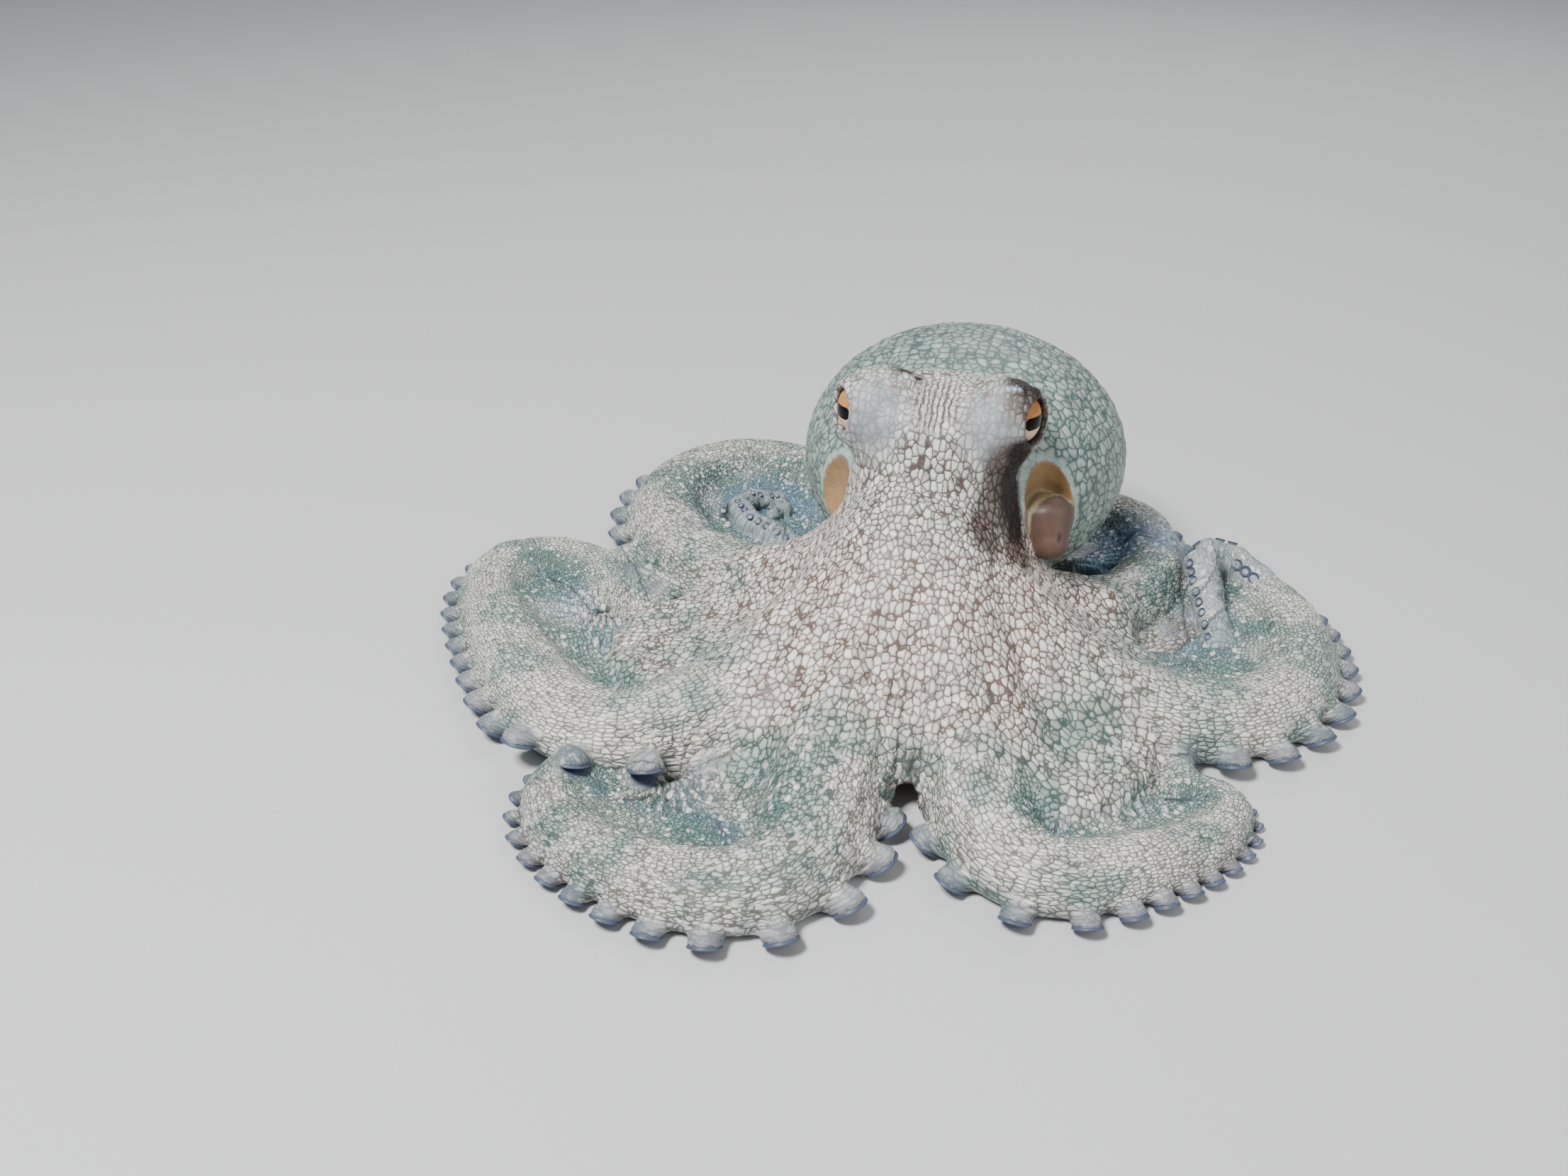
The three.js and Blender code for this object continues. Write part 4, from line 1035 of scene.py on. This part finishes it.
def colours(points, facts):
    """Colour of the cells, colour of the net between them, and how strongly it shows."""
    count = len(points)
    x, y, z = points.T
    cloud = lumps(points, 16.0, 5)
    cloud_small = lumps(points, 6.0, 6)
    coat = Coat(count)
    # web: brown net to the front right, greener and darker to the left and low
    low = smooth_step(facts.radius, 35, 75)
    coat.lay(PALE, 0.6 * low + 0.3 * cloud, NET_GREEN, (0.35 + 0.5 * cloud) * low)
    # arms: whitish crest, teal valley, blue depth of the curls
    arm = facts.is_arm
    coat.lay(PALE, arm * 0.5, NET_GREY, arm * 0.8)
    valley = arm * smooth_step(facts.inward, 0.15, 0.45) * (0.85 + 0.6 * cloud)
    coat.lay(TEAL, valley * 0.8, NET_GREEN, valley)
    depth = arm * smooth_step(facts.inward, 0.72, 1.0)
    coat.lay(DEEP_BLUE, depth * 0.7, DEEP_BLUE * 0.4, depth * 0.6)
    edge = arm * smooth_step(facts.outward, 0.7, 1.0) * (1 - smooth_step(z, 3, 9))
    coat.lay(EDGE_VIOLET, edge * 0.35, EDGE_VIOLET * 0.35, edge * 0.5)
    drift = lumps(points, 8.0, 7) + 0.5 * cloud_small
    coat.patch = coat.patch * (0.9 + 0.16 * np.clip(drift, -1, 1))[:, None]
    mottle = np.maximum(arm, low) * smooth_step(cloud + 0.5 * cloud_small, -0.2, 0.4)
    coat.lay(TEAL, mottle * 0.65, NET_GREEN, mottle * 0.8)
    for at, radii, share in TEAL_MARKS:
        near = near_point(points, at, radii)
        coat.lay(TEAL, share * near, NET_GREEN, near)
    faint = np.zeros(count)
    for at, radii, share in BLUE_MARKS:
        blue = share * near_point(points, at, radii) * (1 - facts.is_mantle) * (1 - facts.on_tip)
        coat.lay(BOWL_BLUE, blue, BOWL_BLUE * 0.5, blue)
        faint = np.maximum(faint, blue)
    cup = facts.on_sucker
    coat.lay(EDGE_VIOLET, cup * 0.95, EDGE_VIOLET * 0.6, cup * 0.8)
    # painted shade low in the notches along the arms' outer edges
    notch = facts.notch_shade * (1 - cup)
    coat.lay(DARK_BROWN, notch * 0.8)
    gap = near_point(points, *PADDLE_GAP) * (1 - cup)
    coat.lay(BLACK_BROWN, np.clip(2 * gap, 0, 1))
    wobble = lumps(points, 6.0, 3)
    tip = facts.on_tip
    coat.lay(TIP_SKIN, tip * 0.7, EDGE_VIOLET * 0.6, tip * 0.7)
    # painted light on the ridges of the gathered pleats, painted shade in their troughs, and
    # painted black shade in the pit at each middle
    for hx, hy, depth in HUBS:
        off = np.hypot(x - hx, y - hy)
        turn = np.arctan2(y - hy, x - hx)
        low = 1 - smooth_step(z, 12, 20)
        gather = (depth * smooth_step(off, 1.5, 4) * (1 - smooth_step(off, 8, HUB_REACH))
                  * low * (1 - cup))
        pleat_shading = np.sin(HUB_PLEATS * turn + 2.0 * wobble)
        coat.lay(CREAM, gather * np.maximum(0.2 + 0.8 * pleat_shading, 0))
        coat.lay(TEAL * 0.6, gather * np.maximum(-0.7 * pleat_shading, 0))
        coat.lay(BLACK_BROWN, depth * (1 - smooth_step(off, 1.4, 3.4)) * low)
    # head and neck
    neck = smooth_step(z, 46, 62) * (1 - facts.is_mantle)
    coat.lay(PALE * 0.86, neck * 0.8, NET_DARK, neck * 0.6)
    brows = [((HEAD_SHIFT + side * 16, 2, 81), (14, 18, 16)) for side in (-1, 1)]
    brow = np.clip(strongest(points, brows) * 2, 0, 1) * (1 - facts.is_mantle)
    coat.lay(BROW_GREY, brow * 0.9, BROW_GREY * 0.45, brow * 0.8)
    # mantle
    coat.lay(MANTLE_PATCH * (1 + 0.25 * cloud_small)[:, None], facts.is_mantle, NET_GREEN * 1.1,
             facts.is_mantle)
    # dark marks over the left eye and the saddle; down that side of the neck a dark brown mark
    # deepened with painted shade, on the side turned from the light
    dark = strongest(points, DARK_MARKS_AND_SHADE)
    dark = np.clip(dark * 2.0 - 0.15 + 0.3 * cloud_small * dark, 0, 1) * (1 - facts.is_mantle)
    coat.lay(DARK_BROWN, dark * 0.85, BLACK_BROWN, dark)
    # painted black shadow beside the neck and under the left brow, and black patches over the
    # right eye
    black = np.clip(strongest(points, BLACK_SHADE_AND_PATCHES) * 2.6, 0, 1) * (1 - facts.is_mantle)
    coat.lay(BLACK_BROWN, black, BLACK_BROWN * 0.5, black)
    # painted shade along the margin of each lid's opening
    for side in (-1, 1):
        centre, gaze = eye_frame(side)
        off = np.linalg.norm(points - centre - np.outer((points - centre) @ gaze, gaze), axis=1)
        near = (points - centre) @ gaze > 3
        margin = near * (1 - smooth_step(off, EYE_OPENING, EYE_OPENING + 1.5))
        coat.lay(BLACK_BROWN, margin * LID_SHADE[side])
    for middle, radius, start, end in CRESCENTS:
        turn = np.degrees(np.arctan2(y - middle[1], x - middle[0])) % 360
        share = smooth_step(turn, start, start + 25) * (1 - smooth_step(turn, end - 25, end))
        off = np.abs(np.hypot(x - middle[0], y - middle[1]) - radius)
        dark = share * (1 - smooth_step(off, 0.6, 2.4)) * (1 - smooth_step(z, 12, 16))
        coat.lay(BLACK_BROWN, dark * (1 - facts.is_mantle))
    for at, radii in RED_MARKS:
        coat.lay(RED_BROWN, 0.7 * near_point(points, at, radii))
    # painted highlights
    for at, radii in GLINT_MARKS:
        coat.lay(GLINT, np.clip(2 * near_point(points, at, radii), 0, 1))
    # the net's strength: faint on brows, siphon, lips and inside the mantle
    strength = (1 - 0.62 * brow) * (1 - 0.1 * facts.is_mantle) * (1 - 0.95 * cup) * (1 - 0.5 * tip)
    strength = strength * (1 - 0.5 * faint)
    for pocket in facts.pockets:
        inside = (1 - smooth_step(pocket, 0.1, 0.6)) * facts.is_mantle
        rim = np.exp(-((pocket - 0.2) / 0.5) ** 2) * facts.is_mantle
        lip = smooth_step(pocket, 0.2, 0.9) * (1 - smooth_step(pocket, 2.2, 3.4))
        lip = lip * (np.abs(facts.mantle) < 4) * facts.is_mantle
        coat.lay(LIP_PALE, 0.55 * lip)
        coat.lay(INSIDE_TAN, inside)
        coat.lay(INSIDE_ORANGE, rim * 0.6)
        strength = strength * (1 - 0.8 * lip) * (1 - inside)
    coat.lay(SIPHON_BROWN, facts.is_siphon)
    # painted shade of the siphon's opening
    slit = near_point(points, *SIPHON_SLIT_SHADE) * facts.is_siphon
    coat.lay(BLACK_BROWN, np.clip(2 * slit, 0, 1))
    strength = strength * (1 - facts.is_siphon)
    under = 1 - smooth_step(z, 0.3, 1.6)
    coat.lay(EDGE_VIOLET * 1.15, under * (1 - facts.is_mantle))
    strength = strength * (1 - under)
    return coat.patch, coat.net, np.clip(strength, 0, 1)


def warts(points, facts):
    """Where small white warts stand: crests of the curls, low on the mantle's left."""
    rim = facts.is_arm * np.exp(-((facts.inward - 0.3) / 0.25) ** 2)
    low = facts.is_mantle * near_point(points, (46, 44, 26), (22, 34, 24))
    bowl = facts.is_arm * smooth_step(facts.inward, 0.4, 0.7) * (1 - facts.on_tip)
    return np.clip(rim + low + 0.5 * bowl + 0.3 * facts.is_arm, 0, 1) * (1 - facts.on_sucker)


def set_floats(mesh, name, values):
    mesh.attributes.new(name, "FLOAT", "POINT").data.foreach_set(
        "value", np.asarray(values, np.float32))


def set_vectors(mesh, name, values):
    mesh.attributes.new(name, "FLOAT_VECTOR", "POINT").data.foreach_set(
        "vector", np.asarray(values, np.float32).ravel())


# ------------------------------------------------------------- node helpers
class Nodes:
    """A short hand for building a material's nodes."""

    def __init__(self, name):
        self.material = bpy.data.materials.new(name)
        self.material.use_nodes = True
        self.tree = self.material.node_tree
        self.shader = self.tree.nodes["Principled BSDF"]

    def link(self, source, target):
        if hasattr(source, "is_output"):
            self.tree.links.new(source, target)
        else:
            target.default_value = source

    def add(self, kind, **settings):
        node = self.tree.nodes.new(kind)
        for key, value in settings.items():
            setattr(node, key, value)
        return node

    def attribute(self, name, output="Fac"):
        return self.add("ShaderNodeAttribute", attribute_name=name).outputs[output]

    def math(self, operation, a, b=0.0, c=0.0):
        node = self.add("ShaderNodeMath", operation=operation)
        for socket, value in zip(node.inputs, (a, b, c)):
            self.link(value, socket)
        return node.outputs[0]

    def plus(self, a, b):
        return self.math("ADD", a, b)

    def minus(self, a, b):
        return self.math("SUBTRACT", a, b)

    def times(self, a, b):
        return self.math("MULTIPLY", a, b)

    def vector(self, operation, a, b=(0, 0, 0)):
        node = self.add("ShaderNodeVectorMath", operation=operation)
        self.link(a, node.inputs[0])
        if operation == "SCALE":
            self.link(b, node.inputs["Scale"])
        else:
            self.link(b, node.inputs[1])
        return node.outputs[0]

    def ramp(self, value, low, high, start=0.0, end=1.0):
        node = self.add("ShaderNodeMapRange", interpolation_type="SMOOTHSTEP")
        for socket, number in zip(node.inputs, (value, low, high, start, end)):
            self.link(number, socket)
        return node.outputs[0]

    def mix_colour(self, share, a, b):
        node = self.add("ShaderNodeMix", data_type="RGBA")
        self.link(share, node.inputs[0])
        self.link(a, node.inputs[6])
        self.link(b, node.inputs[7])
        return node.outputs[2]

    def mix_float(self, share, a, b):
        node = self.add("ShaderNodeMix", data_type="FLOAT")
        self.link(share, node.inputs[0])
        self.link(a, node.inputs[2])
        self.link(b, node.inputs[3])
        return node.outputs[0]

    def noise(self, vector, scale, detail=2.0, output="Fac"):
        node = self.add("ShaderNodeTexNoise")
        self.link(vector, node.inputs["Vector"])
        node.inputs["Scale"].default_value = scale
        node.inputs["Detail"].default_value = detail
        return node.outputs[output]

    def cells(self, vector, feature, scale=1.0, output="Distance", randomness=1.0):
        node = self.add("ShaderNodeTexVoronoi", feature=feature)
        self.link(vector, node.inputs["Vector"])
        node.inputs["Scale"].default_value = scale
        node.inputs["Randomness"].default_value = randomness
        return node.outputs[output]


WRINKLE_WIDTH = 1.6                # millimetres from one fine forehead wrinkle to the next
TRUNK_CHANCE, ARM_CHANCE = 0.7, 0.72        # how irregular the cells are
CELL_ROUND = 0.065                 # how far the net widens at the cells' corners
NET_START, NET_END = 0.015, 0.095  # the net fades out between these, in cells
SPECK_COLOUR = (0.03, 0.02, 0.015, 1)
WART_COLOUR = (0.88, 0.88, 0.85, 1)
RELIEF = 0.00035                   # metres of height the cells' relief stands for
PUPIL_HALF = 1.75                  # millimetres from the pupil's middle line to its edge
PUPIL_COLOUR = (0.002, 0.002, 0.003, 1)


def rgba(colour):
    """A colour as a node's socket takes it."""
    return tuple(colour) + (1,)


def skin_material():
    n = Nodes("octopus_skin")
    object_mm = n.vector("SCALE", n.add("ShaderNodeTexCoord").outputs["Object"], 1000.0)
    wobble = n.vector("SUBTRACT", n.noise(object_mm, 0.35, 2.0, "Color"), (0.5, 0.5, 0.5))
    trunk = n.vector("ADD", n.attribute("trunk_cells", "Vector"), n.vector("SCALE", wobble, 0.7))
    arm = n.vector("ADD", n.attribute("arm_cells", "Vector"), n.vector("SCALE", wobble, 0.9))
    on_arm = n.attribute("on_arm")
    on_arm = n.ramp(n.plus(on_arm, n.times(n.noise(object_mm, 0.5), 0.4)),
                    0.66, 0.74)
    edge = n.mix_float(on_arm, n.cells(trunk, "DISTANCE_TO_EDGE", randomness=TRUNK_CHANCE),
                       n.cells(arm, "DISTANCE_TO_EDGE", randomness=ARM_CHANCE))
    off = n.mix_float(on_arm, n.cells(trunk, "F1", randomness=TRUNK_CHANCE),
                      n.cells(arm, "F1", randomness=ARM_CHANCE))
    chance = n.mix_colour(on_arm, n.cells(trunk, "F1", output="Color", randomness=TRUNK_CHANCE),
                          n.cells(arm, "F1", output="Color", randomness=ARM_CHANCE))
    corner = n.times(n.ramp(off, 0.45, 0.85), CELL_ROUND)
    edge = n.minus(edge, corner)
    luck = n.add("ShaderNodeSeparateColor")
    n.link(chance, luck.inputs[0])
    grain = n.noise(object_mm, 2.2, 3.0)
    strength = n.attribute("net_strength")
    line = n.ramp(n.plus(edge, n.times(n.minus(grain, 0.5), 0.06)),
                  NET_START, NET_END, 1.0, 0.0)
    line = n.times(line, strength)
    # cells: each its own lightness, with painted shade darkening it towards its edges as if domed,
    # finely grained
    light = n.plus(0.5, n.times(luck.outputs[0], 0.56))
    light = n.plus(light, n.times(n.ramp(edge, 0.06, 0.34), 0.24))
    light = n.times(light, n.plus(0.9, n.times(grain, 0.2)))
    light = n.mix_float(strength, 1.0, light)
    patch = n.attribute("patch", "Vector")
    cell = n.vector("SCALE", patch, light)
    colour = n.mix_colour(n.times(line, 0.9), cell, n.attribute("net", "Vector"))
    # fine upright wrinkles of the forehead, with painted shade darkening each crease
    sideways = n.add("ShaderNodeSeparateXYZ")
    n.link(object_mm, sideways.inputs[0])
    phase = n.plus(n.times(sideways.outputs[0], 2 * math.pi / WRINKLE_WIDTH),
                   n.times(n.noise(object_mm, 0.35, 3.0), 9.0))
    crease = n.times(n.ramp(n.math("SINE", phase), -0.1, 0.9), n.attribute("wrinkle"))
    colour = n.mix_colour(n.times(crease, 0.75), colour, rgba(BLACK_BROWN))
    # pigment specks, thickest where the skin is thin
    speck_at = n.cells(object_mm, "F1", scale=1.5)
    speck = n.times(n.ramp(speck_at, 0.12, 0.24, 1.0, 0.0), n.attribute("specks"))
    colour = n.mix_colour(speck, colour, SPECK_COLOUR)
    # white warts
    wart_at = n.mix_float(on_arm, n.cells(trunk, "F1", scale=0.55), n.cells(arm, "F1", scale=0.42))
    wart = n.times(n.ramp(wart_at, 0.18, 0.36, 1.0, 0.0), n.attribute("warts"))
    colour = n.mix_colour(n.times(wart, 0.9), colour, WART_COLOUR)
    n.link(colour, n.shader.inputs["Base Color"])
    # relief
    height = n.times(n.ramp(edge, 0.0, 0.28), strength)
    height = n.plus(height, n.times(wart, 1.6))
    height = n.minus(height, n.times(crease, 1.2))
    height = n.plus(height, n.times(grain, 0.25))
    bump = n.add("ShaderNodeBump")
    bump.inputs["Strength"].default_value = 0.8
    bump.inputs["Distance"].default_value = RELIEF
    n.link(height, bump.inputs["Height"])
    n.link(bump.outputs[0], n.shader.inputs["Normal"])
    rough = n.plus(0.36, n.times(grain, 0.16))
    n.link(rough, n.shader.inputs["Roughness"])
    n.shader.inputs["Specular IOR Level"].default_value = 0.4
    return n.material


def eye_material():
    n = Nodes("octopus_eye")
    at = n.add("ShaderNodeSeparateXYZ")
    n.link(n.attribute("gaze", "Vector"), at.inputs[0])
    across, up, ahead = at.outputs
    object_mm = n.vector("SCALE", n.add("ShaderNodeTexCoord").outputs["Object"], 1000.0)
    grain = n.noise(object_mm, 1.6, 3.0)
    fleck = n.noise(object_mm, 5.0, 2.0)
    ragged = n.times(n.minus(grain, 0.5), 0.7)
    gold = n.mix_colour(n.ramp(fleck, 0.35, 0.65), rgba(linear(160, 98, 50)),
                        rgba(linear(220, 160, 98)))
    cream = n.mix_colour(n.ramp(fleck, 0.4, 0.7), rgba(linear(236, 206, 178)),
                         rgba(linear(214, 168, 122)))
    iris = n.mix_colour(n.ramp(n.plus(up, ragged), -1.2, 0.2), cream, gold)
    rim = n.math("SQRT", n.plus(n.times(across, across),
                                n.times(up, up)))
    iris = n.mix_colour(n.ramp(rim, 4.6, 6.0), iris, rgba(linear(120, 92, 76)))
    # pupil: a level slit, deeper in its middle and hooked down at the front
    half = n.times(n.ramp(n.math("ABSOLUTE", across), 3.4, 5.4, 1.0, 0.15), PUPIL_HALF)
    level = n.minus(up, n.times(across, -0.06))
    inside = n.ramp(n.minus(n.math("ABSOLUTE", level), half), -0.05, 0.1, 1.0, 0.0)
    inside = n.times(inside, n.ramp(n.math("ABSOLUTE", across), 5.2, 5.5, 1.0, 0.0))
    colour = n.mix_colour(inside, iris, PUPIL_COLOUR)
    n.link(colour, n.shader.inputs["Base Color"])
    n.shader.inputs["Roughness"].default_value = 0.2
    n.shader.inputs["Specular IOR Level"].default_value = 0.1
    return n.material


# ------------------------------------------------------------ build pieces
flesh = build_flesh()
skin_points, skin_faces = flesh.mesh()
skin_points = relax(skin_points.astype(float), skin_faces, 2)
skin_points[:, 2] = np.maximum(skin_points[:, 2], 0)
normals = quad_normals(skin_points, skin_faces)
if (normals[:, 2] * (skin_points[:, 2] > 60)).sum() < 0:
    skin_faces = skin_faces[:, ::-1]
    normals = -normals
facts = Facts(skin_points)
skin_points = fold(skin_points, normals, facts)
patch, net, strength = colours(skin_points, facts)
forehead = (1 - facts.is_mantle) * np.clip(2.2 * near_point(skin_points, *FOREHEAD), 0, 1)
strength = strength * (1 - 0.45 * forehead)
cup_points, cup_faces, cup_share = sucker_cups()

cups = len(cup_points)
points = np.concatenate([skin_points, cup_points])
faces = np.concatenate([skin_faces, cup_faces + len(skin_points)])
skin = new_mesh("skin", placed(points), faces)


def with_cups(values, cup_values):
    return np.concatenate([values, np.broadcast_to(cup_values, (cups,) + values.shape[1:])])


cell_at = mix(trunk_cells(skin_points), skin_points * MANTLE_CELL, facts.is_mantle[:, None])
cup_colour = blend_colour(np.tile(PALE * 0.8, (cups, 1)), EDGE_VIOLET, 0.25 + cup_share * 0.9)
set_vectors(skin.data, "trunk_cells", with_cups(cell_at, 0.0))
set_vectors(skin.data, "arm_cells", with_cups(facts.cell, 0.0))
set_floats(skin.data, "on_arm", with_cups(facts.is_arm, 0.0))
set_floats(skin.data, "net_strength", with_cups(strength, 0.0))
set_vectors(skin.data, "patch", np.concatenate([patch, cup_colour]))
set_vectors(skin.data, "net", with_cups(net, 0.1))
set_floats(skin.data, "warts", with_cups(warts(skin_points, facts), 0.0))
specks = np.zeros(len(skin_points))
for pocket in facts.pockets:
    specks = np.maximum(specks, 0.8 * (1 - smooth_step(pocket, 0.0, 0.5)))
set_floats(skin.data, "specks", with_cups(specks, 0.0))
set_floats(skin.data, "wrinkle", with_cups(forehead, 0.0))
skin.data.materials.append(skin_material())
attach(skin, "root")
flesh_nodes = ["web", "head", "mantle", "siphon"]
for arm_name in ARMS:
    flesh_nodes += [f"arm_{arm_name}_{part}" for part in ("base", "mid", "tip")]
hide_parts(*flesh_nodes)

eye_paint = eye_material()
for name, side in (("eye_right_ball", -1), ("eye_left_ball", 1)):
    ball, gaze_at = eye_piece(name, side)
    set_vectors(ball.data, "gaze", gaze_at)
    ball.data.materials.append(eye_paint)
    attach(ball, "root")
    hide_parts(name.replace("_ball", ""))


# ---------------------------------------------------- floor, light, camera
FLOOR_HALF = 3.0                   # metres
# Lamps: name, place and size in metres, power in watts.
LAMPS = [("key", (-0.34, -0.5, 1.0), 0.28, 22),
         ("fill", (0.9, -0.4, 0.6), 0.9, 5),
         ("back", (0.1, 0.9, 0.8), 0.6, 4)]
LAMP_TARGET = (0, 0, 0.03)
SKY_COLOUR = (0.75, 0.8, 0.85, 1)
SKY_STRENGTH = 0.26


def aim(thing, target):
    thing.rotation_euler = (Vector(target) - thing.location).to_track_quat("-Z", "Y").to_euler()


floor_mesh = bpy.data.meshes.new("floor")
corners = [(-FLOOR_HALF, -FLOOR_HALF, 0), (FLOOR_HALF, -FLOOR_HALF, 0),
           (FLOOR_HALF, FLOOR_HALF, 0), (-FLOOR_HALF, FLOOR_HALF, 0)]
floor_mesh.from_pydata(corners, [], [(0, 1, 2, 3)])
floor = bpy.data.objects.new("floor", floor_mesh)
bpy.context.scene.collection.objects.link(floor)
floor_paint = bpy.data.materials.new("floor")
floor_paint.use_nodes = True
floor_shader = floor_paint.node_tree.nodes["Principled BSDF"]
floor_shader.inputs["Base Color"].default_value = (0.6, 0.6, 0.6, 1)
floor_shader.inputs["Roughness"].default_value = 0.7
floor_mesh.materials.append(floor_paint)

for name, at, size, power in LAMPS:
    lamp = bpy.data.lights.new(name, "AREA")
    lamp.size, lamp.energy = size, power
    lamp_object = bpy.data.objects.new(name, lamp)
    lamp_object.location = at
    aim(lamp_object, LAMP_TARGET)
    bpy.context.scene.collection.objects.link(lamp_object)
world = bpy.data.worlds.new("studio")
world.use_nodes = True
sky = world.node_tree.nodes["Background"]
sky.inputs["Color"].default_value = SKY_COLOUR
sky.inputs["Strength"].default_value = SKY_STRENGTH
bpy.context.scene.world = world

camera_data = bpy.data.cameras.new("camera")
camera_data.lens, camera_data.sensor_width = CAMERA_LENS, CAMERA_SENSOR
camera = bpy.data.objects.new("camera", camera_data)
camera.location = placed(CAMERA_AT)
camera.rotation_euler = Vector(CAMERA_AHEAD).to_track_quat("-Z", "Y").to_euler()
bpy.context.scene.collection.objects.link(camera)
bpy.context.scene.camera = camera
